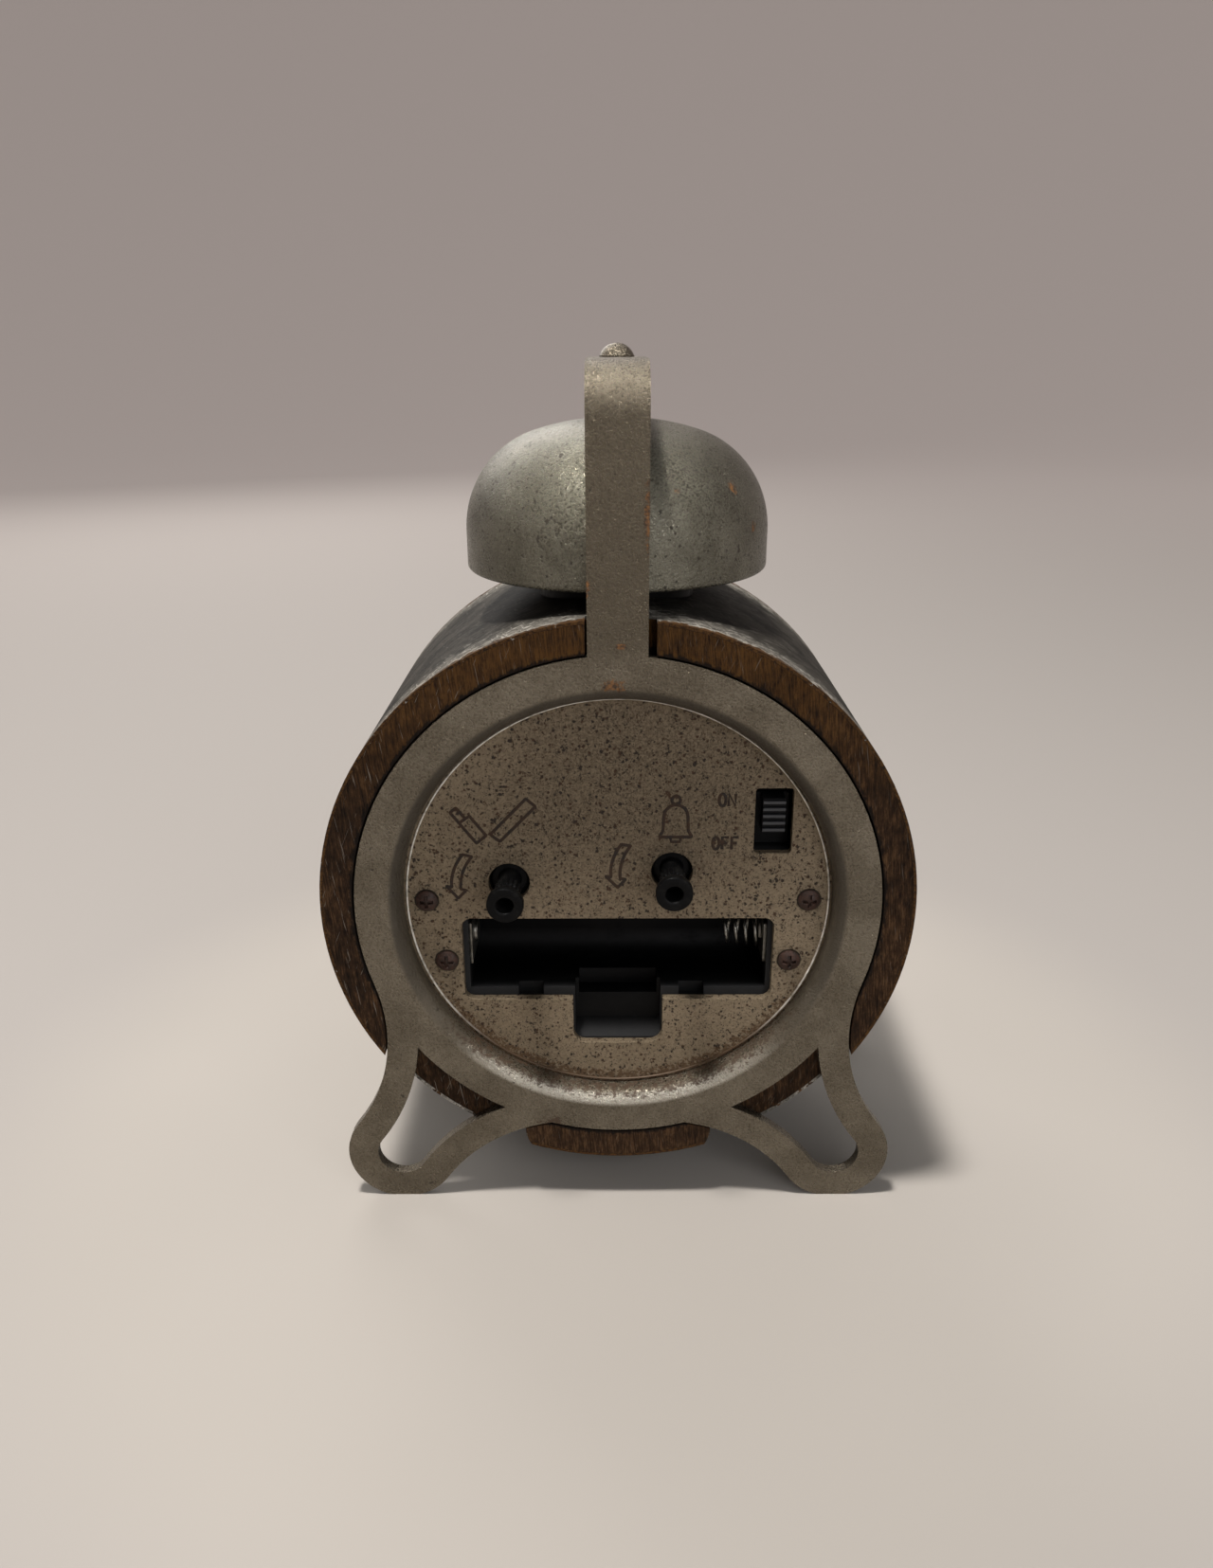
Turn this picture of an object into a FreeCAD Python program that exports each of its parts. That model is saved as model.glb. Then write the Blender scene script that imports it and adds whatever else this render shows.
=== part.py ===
"""Free-standing single-bell alarm clock, built as a parametric FreeCAD document.

All sizes are millimetres. Every sub-part is drawn about the clock's own axis: X to the side, Y towards
the rear, Z up, with the origin on the axis. Its Placement then sets it down in the object's frame, whose
origin is on the floor under the middle of the clock. Names ending in _x and _z are places, measured from
the axis.
"""
import FreeCAD
import Part
import os
import re
from math import cos, hypot, pi, radians, sin, sqrt

import Sketcher
from FreeCAD import Placement, Rotation, Vector

DIMENSIONS = (
    # the drum
    ("floor_clearance", 8.8, "drum above the floor"),
    ("case_radius", 50.5, "outside of the steel band"),
    ("case_depth", 58.4, "drum, front to rear"),
    ("band_thickness", 0.5, "rolled steel band round the drum"),
    ("seat_width", 4.2, "how far the ring of a frame lies on the wood"),
    ("dial_rib", 5.5, "how far the rib under the dial stands out of the bore"),
    ("nut_room", 0.2, "that rib to the nut of the bell post"),
    ("dial_depth", 16.4, "front of the drum to the dial's seat"),
    ("seat_gap", 0.05, "clearance of pieces that are pressed or slipped together"),
    # the two stamped frames
    ("frame_thickness", 2.0, "sheet of the frames"),
    ("frame_gap", 0.35, "open line round each frame in its recess"),
    ("ring_margin", 5.8, "wood and band that show outside the ring"),
    ("ring_width", 5.2, "flat part of the ring"),
    ("lip_roll", 2.5, "how far the lip rolls inwards"),
    ("lip_depth", 4.3, "rear face of the ring to the end of the lip"),
    ("lip_wall", 1.6, "thickness of the lip at its end"),
    ("foot_inset", 10.6, "centre of each looped foot from the side of the drum"),
    ("foot_radius", 9.9, "outside of the looped foot"),
    ("foot_flat", 0.37, "how much is flattened under the foot"),
    ("leg_sweep", 32.4, "radius of the leg's hollow outer edge"),
    ("strut_sweep", 28.9, "radius of the strut's hollow lower edge"),
    ("strut_root", 15.7, "degrees from the bottom of the ring to the strut's root"),
    ("leg_width", 5.4, "width of the bar that makes the leg"),
    ("root_depth", 1.8, "how far the bar runs into the ring"),
    ("strap_width", 9.6, "band over the bell"),
    ("strap_clearance", 5.5, "lower strap above the top of the bell"),
    ("strap_bend", 8.0, "outer radius of the strap's bend"),
    ("notch_width", 11.3, "slot in the drum for the strap"),
    ("notch_shift", 0.5, "how far the slot stands off the strap's middle"),
    ("notch_depth", 3.4, "slot, front to rear"),
    ("tongue_half", 16.7, "half the width of the wood that shows between the struts"),
    ("tongue_side", 0.8, "upright part of that wood's end"),
    ("tongue_round", 4.5, "rounded lower corner of that wood's end"),
    ("toe_width", 7.0, "deeper cut beside each end of that wood"),
    ("toe_depth", 4.6, "deeper cut, front to rear"),
    # back cover and its screws
    ("cover_thickness", 1.5, "back cover"),
    ("cover_gap", 0.3, "radial clearance of the cover, dial and lens in the drum"),
    ("upper_screw_inset", 7.1, "upper screws from the cover's edge"),
    ("upper_screw_z", 0.1, "upper screws above the axis"),
    ("lower_screw_inset", 10.0, "lower screws from the cover's edge"),
    ("lower_screw_z", -11.7, "lower screws above the axis"),
    ("screw_head_radius", 1.9, "screw head"),
    ("screw_head_height", 1.1, "screw head"),
    ("screw_head_rim", 0.3, "upright rim of the screw head"),
    ("screw_radius", 1.2, "screw shank"),
    ("screw_length", 6.0, "screw under the head"),
    # battery bay
    ("bay_inset", 12.9, "each end of the battery opening from the cover's edge"),
    ("bay_top", -3.5, "edge of the cover's battery opening"),
    ("bay_bottom", -19.6, "edge of the cover's battery opening"),
    ("bay_corner", 1.7, "corners of the opening"),
    ("latch_x", 8.0, "half the width of the latch opening"),
    ("latch_inset", 11.5, "lowest edge of the latch opening from the cover's edge"),
    ("latch_corner", 2.4, "corners of the latch opening"),
    ("bay_ledge", 1.6, "ledge under the cell that shows inside the opening"),
    ("bay_end", 0.9, "how much each end of the bay stands inside the opening"),
    ("bay_head", 1.2, "how far the bay runs up behind the cover"),
    ("bay_depth", 13.6, "depth of the bay in the housing"),
    ("bay_cradle", 5.0, "rounded floor of the bay"),
    ("hook_left_x", -13.2, "middle of one door hook slot"),
    ("hook_right_x", 15.6, "middle of the other door hook slot"),
    ("hook_width", 4.5, "door hook slots"),
    ("hook_depth", 2.0, "door hook slots"),
    ("latch_depth", 3.2, "latch pocket"),
    ("latch_slope", 2.4, "height of the pocket's sloping wall"),
    ("latch_floor", 7.4, "the pocket's bottom to the hollow above it"),
    ("hollow_depth", 6.7, "hollow between the latch pocket and the bay"),
    ("bay_wall", 0.9, "rim on each side of that hollow, with the gap to the cover"),
    # movement housing
    ("housing_inset", 10.7, "sides and bottom of the moulded housing from the cover's edge"),
    ("housing_top_inset", 16.2, "top of the housing from the cover's edge"),
    ("housing_corner", 8.0, "corners of the housing"),
    ("housing_depth", 20.0, "moulded housing, front to rear"),
    ("ear_radius", 3.3, "screw bosses"),
    ("ear_depth", 8.0, "screw bosses"),
    ("lid_thickness", 2.0, "front lid of the housing"),
    ("tower_radius", 7.0, "seat that carries the dial"),
    ("bushing_radius", 4.2, "threaded bushing through the dial"),
    ("bushing_proud", 2.4, "bushing in front of the dial"),
    # contacts
    ("contact_thickness", 0.4, "sheet of the contacts"),
    ("contact_height", 8.0, "contact plates"),
    ("contact_drop", 11.0, "contact plates, front to rear"),
    ("nub_radius", 2.2, "raised button of the flat contact"),
    ("nub_height", 0.5, "raised button of the flat contact"),
    ("cell_depth", 7.2, "middle of the cell below the housing's rear face"),
    ("spring_radius", 3.0, "coil spring at its wide end, to the wire's middle"),
    ("spring_tip_radius", 2.1, "coil spring at its tip, to the wire's middle"),
    ("spring_length", 7.5, "coil spring"),
    ("spring_turns", 4.0, "coil spring"),
    ("wire_radius", 0.3, "wire of the spring"),
    # knobs and switch
    ("time_knob_x", 18.7, "time-setting knob"),
    ("time_knob_z", 3.5, "time-setting knob"),
    ("alarm_knob_x", -9.3, "alarm-setting knob"),
    ("alarm_knob_z", 5.5, "alarm-setting knob"),
    ("knob_radius", 3.1, "knob at its two ends"),
    ("knob_neck", 2.05, "knob at its neck"),
    ("knob_flange", 1.6, "thickness of the knob's outer flange"),
    ("knob_foot", 1.4, "thickness of the knob's foot in the well"),
    ("knob_length", 12.0, "knob without its shaft"),
    ("knob_proud", 4.7, "knob behind the drum's rear face"),
    ("knob_dimple", 1.45, "hollow in the knob's end"),
    ("dimple_depth", 5.0, "hollow in the knob's end"),
    ("ridge_width", 0.8, "one grip ridge of the knob's neck"),
    ("ridge_height", 0.2, "grip ridges, above and below the neck's face"),
    ("ridge_count", 16, "grip ridges of a knob"),
    ("knob_hole_radius", 3.55, "knob holes in the cover"),
    ("knob_shaft_radius", 1.5, "shaft of a knob"),
    ("knob_shaft_length", 5.0, "shaft of a knob"),
    ("running_gap", 0.06, "radial clearance of turning pieces"),
    ("free_gap", 0.3, "clearance of pieces that pass each other"),
    ("switch_inset", 13.9, "alarm switch opening from the cover's edge"),
    ("switch_z", 14.85, "alarm switch opening"),
    ("switch_width", 6.4, "alarm switch opening"),
    ("switch_height", 11.8, "alarm switch opening"),
    ("switch_corner", 0.6, "corners of the switch opening"),
    ("slider_width", 3.8, "finger piece of the switch"),
    ("slider_height", 6.2, "finger piece of the switch"),
    ("slider_proud", 0.2, "finger piece outside the cover"),
    ("slider_travel", 3.4, "alarm switch, from on to off"),
    ("rib_count", 5, "ribs of the finger piece"),
    ("rib_height", 0.45, "ribs of the finger piece"),
    ("slider_base", 1.2, "thickness of the slider's base"),
    ("slide_depth", 3.2, "slot of the switch in the housing"),
    # bell and its post
    ("bell_clearance", 1.1, "bell to the strap on each side"),
    ("bell_lift", 3.2, "bell's rim above the drum"),
    ("bell_height", 24.9, "bell"),
    ("bell_wall", 1.8, "bell"),
    ("bell_skirt", 6.5, "upright part of the bell"),
    ("shoulder_drop", 1.4, "bell's top above the highest point of its shoulder's arc"),
    ("bell_rim_radius", 0.85, "rounded rim of the bell"),
    ("base_radius", 13.5, "black pad under the bell"),
    ("base_height", 4.5, "black pad above the drum"),
    ("post_radius", 2.0, "bell post"),
    ("sleeve_radius", 4.0, "spacer sleeves on the post"),
    ("post_tail", 4.6, "post inside the drum"),
    ("nut_flats", 8.0, "nut of the post, across flats"),
    ("nut_height", 3.0, "nut of the post"),
    ("dome_radius", 2.95, "dome-headed screw on top"),
    ("dome_height", 2.2, "dome-headed screw on top"),
    ("dome_shank", 1.3, "dome-headed screw on top"),
    ("dome_length", 6.5, "dome-headed screw under its head"),
    # dial side
    ("dial_thickness", 0.8, "dial"),
    ("lens_thickness", 1.5, "lens"),
    ("ring_narrowing", 0.8, "how much the ring at the dial narrows from the lip"),
    ("dial_nut_flats", 11.0, "nut on the bushing, across flats"),
    ("dial_nut_height", 1.8, "nut on the bushing"),
    ("blade_thickness", 0.4, "hands"),
    ("blade_step", 1.2, "one hand to the next"),
    ("first_blade", 3.0, "dial to the alarm hand"),
    ("collet_reach", 4.0, "each hand's tube behind its blade"),
    ("hub_rim", 0.5, "round hub of a hand outside its tube"),
    ("alarm_collet", 3.1, "tube of the alarm hand"),
    ("hour_collet", 2.5, "tube of the hour hand"),
    ("minute_collet", 1.9, "tube of the minute hand"),
    ("second_collet", 1.3, "pin of the seconds hand"),
    ("alarm_hand_length", 18.0, "alarm hand"),
    ("hour_hand_length", 20.0, "hour hand"),
    ("minute_hand_length", 30.0, "minute hand"),
    ("second_hand_length", 31.0, "seconds hand"),
    ("second_hand_tail", 9.0, "seconds hand behind its pin"),
    ("alarm_hand_width", 2.0, "alarm hand"),
    ("hour_hand_width", 3.4, "hour hand"),
    ("minute_hand_width", 2.8, "minute hand"),
    ("second_hand_width", 1.0, "seconds hand"),
)
ALIASES = {alias for alias, size, note in DIMENSIONS}

doc = FreeCAD.newDocument("alarm_clock")
dims = doc.addObject("Spreadsheet::Sheet", "dims")
for row, (alias, size, note) in enumerate(DIMENSIONS, start=1):
    dims.set(f"A{row}", note)
    dims.set(f"B{row}", str(size))
    dims.setAlias(f"B{row}", alias)
doc.recompute()

# Places that several pieces share, as expressions in the sheet's names.
CENTRE_HEIGHT = "(case_radius + floor_clearance)"
BAND_BORE = "(case_radius - band_thickness)"
RING_RADIUS = "(case_radius - ring_margin)"
DISH_RADIUS = f"({RING_RADIUS} - ring_width)"
LIP_RADIUS = f"({DISH_RADIUS} - lip_roll)"
FOOT_X = "(case_radius - foot_inset)"
CORE_BORE = f"({RING_RADIUS} - seat_width)"
DISC_RADIUS = f"({CORE_BORE} - cover_gap)"
HALF_DEPTH = "(case_depth / 2)"
REAR_Y = "((case_depth - knob_proud) / 2)"
MIDDLE_Y = f"({REAR_Y} - {HALF_DEPTH})"
COVER_Y = f"({REAR_Y} - lip_depth)"
HOUSING_Y = f"({COVER_Y} - cover_thickness)"
LID_Y = f"({HOUSING_Y} - housing_depth)"
FRONT_Y = f"({REAR_Y} - case_depth)"
DIAL_SEAT_Y = f"({FRONT_Y} + dial_depth)"
RIB_THICKNESS = f"({HALF_DEPTH} - dial_depth - nut_flats / sqrt(3) - nut_room)"
DIAL_Y = f"({DIAL_SEAT_Y} - dial_thickness)"
LENS_Y = f"({FRONT_Y} + lip_depth + lens_thickness)"
UPPER_SCREW_X = f"({DISC_RADIUS} - upper_screw_inset)"
LOWER_SCREW_X = f"({DISC_RADIUS} - lower_screw_inset)"
BAY_END_X = f"({DISC_RADIUS} - bay_inset)"
BAY_WALL_X = f"({BAY_END_X} - bay_end)"
BAY_MIDDLE_Z = "((bay_top + bay_head + bay_bottom + bay_ledge) / 2)"
LATCH_BOTTOM = f"(latch_inset - {DISC_RADIUS})"
HOUSING_SIDE_X = f"({DISC_RADIUS} - housing_inset)"
HOUSING_TOP = f"({DISC_RADIUS} - housing_top_inset)"
SWITCH_X = f"(switch_inset - {DISC_RADIUS})"
SLIDER_Z = "(switch_z + slider_travel + free_gap - (switch_height - slider_height) / 2)"
NOTCH_LEFT = "(-notch_width / 2 - notch_shift)"
NOTCH_RIGHT = "(notch_width / 2 - notch_shift)"
BELL_RADIUS = f"({HALF_DEPTH} - frame_thickness - bell_clearance)"
BELL_RISE = "(bell_height - bell_skirt)"
BELL_SHOULDER = f"({BELL_RISE} - shoulder_drop)"
BELL_CROWN = (
    f"((({BELL_RADIUS} - {BELL_SHOULDER}) ^ 2 + {BELL_RISE} ^ 2 - {BELL_SHOULDER} ^ 2)"
    " / (2 * shoulder_drop))"
)
RIM_Z = "(case_radius + bell_lift)"
BELL_TOP = f"({RIM_Z} + bell_height)"
BELL_UNDER = f"({BELL_TOP} - {BELL_CROWN} + sqrt(({BELL_CROWN} - bell_wall) ^ 2 - sleeve_radius ^ 2))"
BASE_TOP = "(case_radius + base_height)"
STRAP_UNDER = f"({BELL_TOP} + strap_clearance)"
STRAP_TOP = f"({STRAP_UNDER} + 2 * frame_thickness)"


def in_sheet(expression):
    """The expression with every alias written as a cell of the sheet."""
    return re.sub(r"[a-z_]+", lambda word: "dims." + word[0] if word[0] in ALIASES else word[0], expression)


def value(expression):
    """What an expression in the sheet's names comes to, in millimetres."""
    return float(dims.evalExpression(in_sheet(expression)))


def bind(target, prop, expression):
    """Ties a property to the sheet."""
    target.setExpression(prop, in_sheet(expression))


# ---------------------------------------------------------------- sketches

def new_body(label, y="0", angle=0.0, x="0", z="0"):
    """A body named label, set down on the clock's axis at depth y and turned about the upright."""
    body = doc.addObject("PartDesign::Body", label)
    body.Label = label
    body.Placement = Placement(Vector(), Rotation(Vector(0, 0, 1), angle))
    bind(body, "Placement.Base.x", x)
    bind(body, "Placement.Base.y", y)
    bind(body, "Placement.Base.z", f"{CENTRE_HEIGHT} + {z}")
    return body


def new_sketch(body, role, lift="0"):
    """A sketch on one of the body's own planes, lifted along that plane's normal."""
    sketch = body.newObject("Sketcher::SketchObject", f"{body.Label}_sketch")
    plane = next(feature for feature in body.Origin.OriginFeatures if feature.Role == role)
    sketch.AttachmentSupport = (plane, [""])
    sketch.MapMode = "FlatFace"
    bind(sketch, "AttachmentOffset.Base.z", lift)
    return sketch


def pin(sketch, index, end, x, y):
    """Ties one point of a sketched curve to its two distances from the origin."""
    for kind, axis, place in (("DistanceX", -2, x), ("DistanceY", -1, y)):
        if abs(value(place)) < 1e-9:
            sketch.addConstraint(Sketcher.Constraint("PointOnObject", index, end, axis))
        else:
            number = sketch.addConstraint(Sketcher.Constraint(kind, -1, 1, index, end, value(place)))
            bind(sketch, f"Constraints[{number}]", place)


def circle(sketch, radius, x="0", y="0"):
    """A circle whose radius and centre follow the sheet."""
    curve = Part.Circle(Vector(value(x), value(y), 0), Vector(0, 0, 1), value(radius))
    index = sketch.addGeometry(curve, False)
    number = sketch.addConstraint(Sketcher.Constraint("Radius", index, value(radius)))
    bind(sketch, f"Constraints[{number}]", radius)
    pin(sketch, index, 3, x, y)


def rectangle(sketch, left, bottom, right, top):
    """A rectangle whose two corners follow the sheet."""
    xs = (value(left), value(right), value(right), value(left))
    ys = (value(bottom), value(bottom), value(top), value(top))
    first = sketch.GeometryCount
    for side in range(4):
        after = (side + 1) % 4
        line = Part.LineSegment(Vector(xs[side], ys[side], 0), Vector(xs[after], ys[after], 0))
        sketch.addGeometry(line, False)
    for side in range(4):
        after = (side + 1) % 4
        sketch.addConstraint(Sketcher.Constraint("Coincident", first + side, 2, first + after, 1))
        direction = "Horizontal" if side % 2 == 0 else "Vertical"
        sketch.addConstraint(Sketcher.Constraint(direction, first + side))
    pin(sketch, first, 1, left, bottom)
    pin(sketch, first + 2, 1, right, top)


def outline(sketch, start, steps):
    """A closed outline. A step is an end point, or a point on an arc with its end point."""
    here = Vector(*start)
    for step in steps:
        if isinstance(step[0], tuple):
            there = Vector(*step[1])
            sketch.addGeometry(Part.Arc(here, Vector(*step[0]), there), False)
        else:
            there = Vector(*step)
            sketch.addGeometry(Part.LineSegment(here, there), False)
        here = there


# ---------------------------------------------------------------- features

def pad(body, sketch, length, symmetric=False, backwards=False):
    """Adds the sketch's area, drawn out by length."""
    feature = body.newObject("PartDesign::Pad", f"{body.Label}_pad")
    feature.Profile = sketch
    bind(feature, "Length", length)
    feature.SideType = "Symmetric" if symmetric else "One side"
    feature.Reversed = backwards
    doc.recompute()
    return feature


def pocket(body, sketch, length, symmetric=False, backwards=False):
    """Cuts the sketch's area to the given depth and makes sure that it did cut."""
    before = body.Shape.Volume
    feature = body.newObject("PartDesign::Pocket", f"{body.Label}_pocket")
    feature.Profile = sketch
    bind(feature, "Length", length)
    feature.SideType = "Symmetric" if symmetric else "One side"
    feature.Reversed = backwards
    doc.recompute()
    if body.Shape.Volume >= before - 1e-6:
        raise ValueError(f"{feature.Label} cuts nothing")
    return feature


def revolve(body, sketch, axis="H_Axis", cut=False):
    """A full turn of the sketch about one of its own axes, added or cut away."""
    before = body.Shape.Volume if cut else 0
    kind = "Groove" if cut else "Revolution"
    feature = body.newObject(f"PartDesign::{kind}", f"{body.Label}_{kind.lower()}")
    feature.Profile = sketch
    feature.ReferenceAxis = (sketch, [axis])
    feature.Angle = 360
    doc.recompute()
    if cut and body.Shape.Volume >= before - 1e-6:
        raise ValueError(f"{feature.Label} cuts nothing")
    return feature


def mirror(body, features, role):
    """Repeats features on the other side of one of the body's planes."""
    plane = next(feature for feature in body.Origin.OriginFeatures if feature.Role == role)
    feature = body.newObject("PartDesign::Mirrored", f"{body.Label}_mirror")
    feature.Originals = features
    feature.MirrorPlane = (plane, [""])
    body.Tip = feature
    doc.recompute()
    return feature


def round_edges(body, base, radius, wanted):
    """Rounds the edges of a feature for which wanted(edge) is true."""
    names = [f"Edge{number}" for number, edge in enumerate(base.Shape.Edges, start=1) if wanted(edge)]
    feature = body.newObject("PartDesign::Fillet", f"{body.Label}_fillet")
    feature.Base = (base, names)
    bind(feature, "Radius", radius)
    body.Tip = feature
    doc.recompute()
    return feature


def is_circle(edge, radius):
    """True for a circular edge of that radius."""
    return isinstance(edge.Curve, Part.Circle) and abs(edge.Curve.Radius - radius) < 1e-6


def runs_along(edge, direction):
    """True for a straight edge along a direction."""
    return isinstance(edge.Curve, Part.Line) and abs(edge.Curve.Direction.dot(direction)) > 0.999


# ---------------------------------------------------------------- outlines that several pieces share

def meeting(centre, radius, other, other_radius):
    """The two points where two circles meet."""
    gap = hypot(other[0] - centre[0], other[1] - centre[1])
    along = (radius ** 2 - other_radius ** 2 + gap ** 2) / (2 * gap)
    across = sqrt(radius ** 2 - along ** 2)
    ux = (other[0] - centre[0]) / gap
    uz = (other[1] - centre[1]) / gap
    foot = (centre[0] + along * ux, centre[1] + along * uz)
    return ((foot[0] - across * uz, foot[1] + across * ux), (foot[0] + across * uz, foot[1] - across * ux))


def towards(centre, target, distance):
    """The point at a distance from centre on the way to target."""
    gap = hypot(target[0] - centre[0], target[1] - centre[1])
    return (centre[0] + (target[0] - centre[0]) * distance / gap,
            centre[1] + (target[1] - centre[1]) * distance / gap)


def arc(centre, start, end):
    """One step of an outline: the shorter arc about centre, from start to end."""
    radius = hypot(start[0] - centre[0], start[1] - centre[1])
    chord = ((start[0] + end[0]) / 2, (start[1] + end[1]) / 2)
    return (towards(centre, chord, radius), end)


def dome_centre(height, rim, radius):
    """Where on its axis a round dome has its centre, from its height, its rim's height and its radius."""
    return (height ** 2 - rim ** 2 - radius ** 2) / (2 * (height - rim))


def nearest(points, place):
    """The point that lies nearest to a place."""
    return min(points, key=lambda point: hypot(point[0] - place[0], point[1] - place[1]))


def leg_centres(side):
    """Centres of a leg's three arcs: the hollow outer edge, the looped foot and the strut's hollow edge.

    The outer arc touches the ring and the foot. The strut's arc touches the foot and starts at the ring.
    """
    ring = value(RING_RADIUS)
    foot = (side * value(FOOT_X), value(f"foot_radius - foot_flat - {CENTRE_HEIGHT}"))
    sweep = value("leg_sweep")
    outer = meeting((0, 0), ring + sweep, foot, value("foot_radius") + sweep)
    outer = max(outer, key=lambda point: abs(point[0]))
    angle = radians(value("strut_root"))
    root = (side * ring * sin(angle), -ring * cos(angle))
    strut = value("strut_sweep")
    lower = meeting(root, strut, foot, value("foot_radius") + strut)
    lower = min(lower, key=lambda point: point[1])
    return outer, foot, lower, root


def draw_leg(sketch, side):
    """The bar of one leg: out of the ring, round the foot and back to the bottom of the ring."""
    outer, foot, lower, root = leg_centres(side)
    ring = value(RING_RADIUS)
    inside = value(f"{RING_RADIUS} - root_depth")
    foot_radius = value("foot_radius")
    sweep = value("leg_sweep")
    strut = value("strut_sweep")
    width = value("leg_width")
    floor = -value(CENTRE_HEIGHT)
    half_flat = sqrt(foot_radius ** 2 - (foot[1] - floor) ** 2)
    bottom = (foot[0], foot[1] - foot_radius + width)
    start = towards((0, 0), outer, ring)
    foot_in = towards(foot, outer, foot_radius)
    flat_in = (foot[0] + side * half_flat, floor)
    flat_out = (foot[0] - side * half_flat, floor)
    foot_out = towards(foot, lower, foot_radius)
    inner_end = nearest(meeting(lower, strut + width, (0, 0), inside), root)
    inner_out = towards(foot, lower, foot_radius - width)
    inner_in = towards(foot, outer, foot_radius - width)
    inner_start = nearest(meeting(outer, sweep + width, (0, 0), inside), start)
    outline(sketch, start, (
        arc(outer, start, foot_in),
        arc(foot, foot_in, flat_in),
        flat_out,
        arc(foot, flat_out, foot_out),
        arc(lower, foot_out, root),
        towards((0, 0), root, inside),
        inner_end,
        arc(lower, inner_end, inner_out),
        arc(foot, inner_out, bottom),
        arc(foot, bottom, inner_in),
        arc(outer, inner_in, inner_start),
        towards((0, 0), start, inside),
        start,
    ))


def recess_leg(side):
    """One leg's sunk outline, from the ring round the foot and the tongue's end and back to the ring."""
    outer, foot, lower, root = leg_centres(side)
    gap = value("frame_gap")
    ring = value(RING_RADIUS) + gap
    foot_radius = value("foot_radius") + gap
    strut = value("strut_sweep") - gap
    half, corner = value("tongue_half"), value("tongue_round")
    start = towards((0, 0), outer, ring)
    foot_in = towards(foot, outer, foot_radius)
    bottom = (foot[0], foot[1] - foot_radius)
    high = (side * half, lower[1] + sqrt(strut ** 2 - (side * half - lower[0]) ** 2))
    low = (high[0], high[1] - value("tongue_side"))
    middle = (side * (half - corner), low[1])
    under = (middle[0], middle[1] - corner)
    end = nearest(meeting(lower, strut, (0, 0), ring), root)
    points = (start, foot_in, bottom, (middle[0], bottom[1]), under, low, high, end)
    return (outer, foot, middle, lower), points


def draw_frame_recess(sketch):
    """The whole sunk outline of a frame with the open line round it: ring, both legs and the strap's slot."""
    centres, leg = recess_leg(-1)
    centres_2, leg_2 = recess_leg(1)
    ring = value(f"{RING_RADIUS} + frame_gap")
    left, right = value(NOTCH_LEFT), value(NOTCH_RIGHT)
    top = value("case_radius + notch_width")
    slot_left = (left, sqrt(ring ** 2 - left ** 2))
    slot_right = (right, sqrt(ring ** 2 - right ** 2))
    outline(sketch, (right, top), (
        (left, top),
        slot_left,
        arc((0, 0), slot_left, leg[0]),
        *leg_recess_steps(centres, leg),
        arc((0, 0), leg[-1], leg_2[-1]),
        *leg_recess_steps(centres_2, leg_2, backwards=True),
        arc((0, 0), leg_2[0], slot_right),
        (right, top),
    ))


def leg_recess_steps(centres, points, backwards=False):
    """The steps of one leg's sunk outline between its two places on the ring, in either direction."""
    outer, foot, middle, lower = centres
    curves = (outer, foot, None, None, middle, None, lower)
    if backwards:
        curves, points = curves[::-1], points[::-1]
    return [
        there if centre is None else arc(centre, here, there)
        for centre, here, there in zip(curves, points, points[1:])
    ]


def cut_frame_recess(body):
    """Sinks the rear seat of a frame, with the deeper slot for its strap and deeper cuts under its struts."""
    rear = f"-{HALF_DEPTH}"
    seat = new_sketch(body, "XZ_Plane", rear)
    draw_frame_recess(seat)
    seat_cut = pocket(body, seat, "frame_thickness", backwards=True)
    slot = new_sketch(body, "XZ_Plane", rear)
    rectangle(slot, NOTCH_LEFT, f"{RING_RADIUS} - root_depth", NOTCH_RIGHT, "case_radius + notch_width")
    slot_cut = pocket(body, slot, "notch_depth", backwards=True)
    toes = new_sketch(body, "XZ_Plane", rear)
    near, far = "(tongue_half + frame_gap)", "(tongue_half + frame_gap + toe_width)"
    low, high = f"-{CENTRE_HEIGHT}", f"root_depth - {RING_RADIUS}"
    rectangle(toes, near, low, far, high)
    rectangle(toes, f"-{far}", low, f"-{near}", high)
    toe_cut = pocket(body, toes, "toe_depth", backwards=True)
    return [seat_cut, slot_cut, toe_cut]


# ---------------------------------------------------------------- the drum

def make_case_band():
    """The rolled steel band round the drum, with the gaps for legs and straps."""
    body = new_body("case_band", MIDDLE_Y)
    ring = new_sketch(body, "XZ_Plane")
    circle(ring, "case_radius")
    circle(ring, BAND_BORE)
    pad(body, ring, "case_depth", symmetric=True)
    mirror(body, cut_frame_recess(body), "XZ_Plane")
    cut_post_hole(body)
    return body


def make_case_core():
    """The wooden ring of the drum: sunk seats for the frames and a rib inside for the dial."""
    body = new_body("case_core", MIDDLE_Y)
    ring = new_sketch(body, "XZ_Plane")
    circle(ring, f"{BAND_BORE} - seat_gap")
    circle(ring, CORE_BORE)
    pad(body, ring, "case_depth", symmetric=True)
    rib = new_sketch(body, "XZ_Plane", f"{HALF_DEPTH} - dial_depth - {RIB_THICKNESS}")
    circle(rib, f"{CORE_BORE} + seat_gap")
    circle(rib, f"{CORE_BORE} - dial_rib")
    pad(body, rib, RIB_THICKNESS)
    mirror(body, cut_frame_recess(body), "XZ_Plane")
    cut_post_hole(body)
    return body


def cut_post_hole(body):
    """The upright hole in the top of the drum for the bell post."""
    hole = new_sketch(body, "XY_Plane")
    circle(hole, "post_radius + seat_gap")
    pocket(body, hole, "case_radius + band_thickness", backwards=True)


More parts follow.
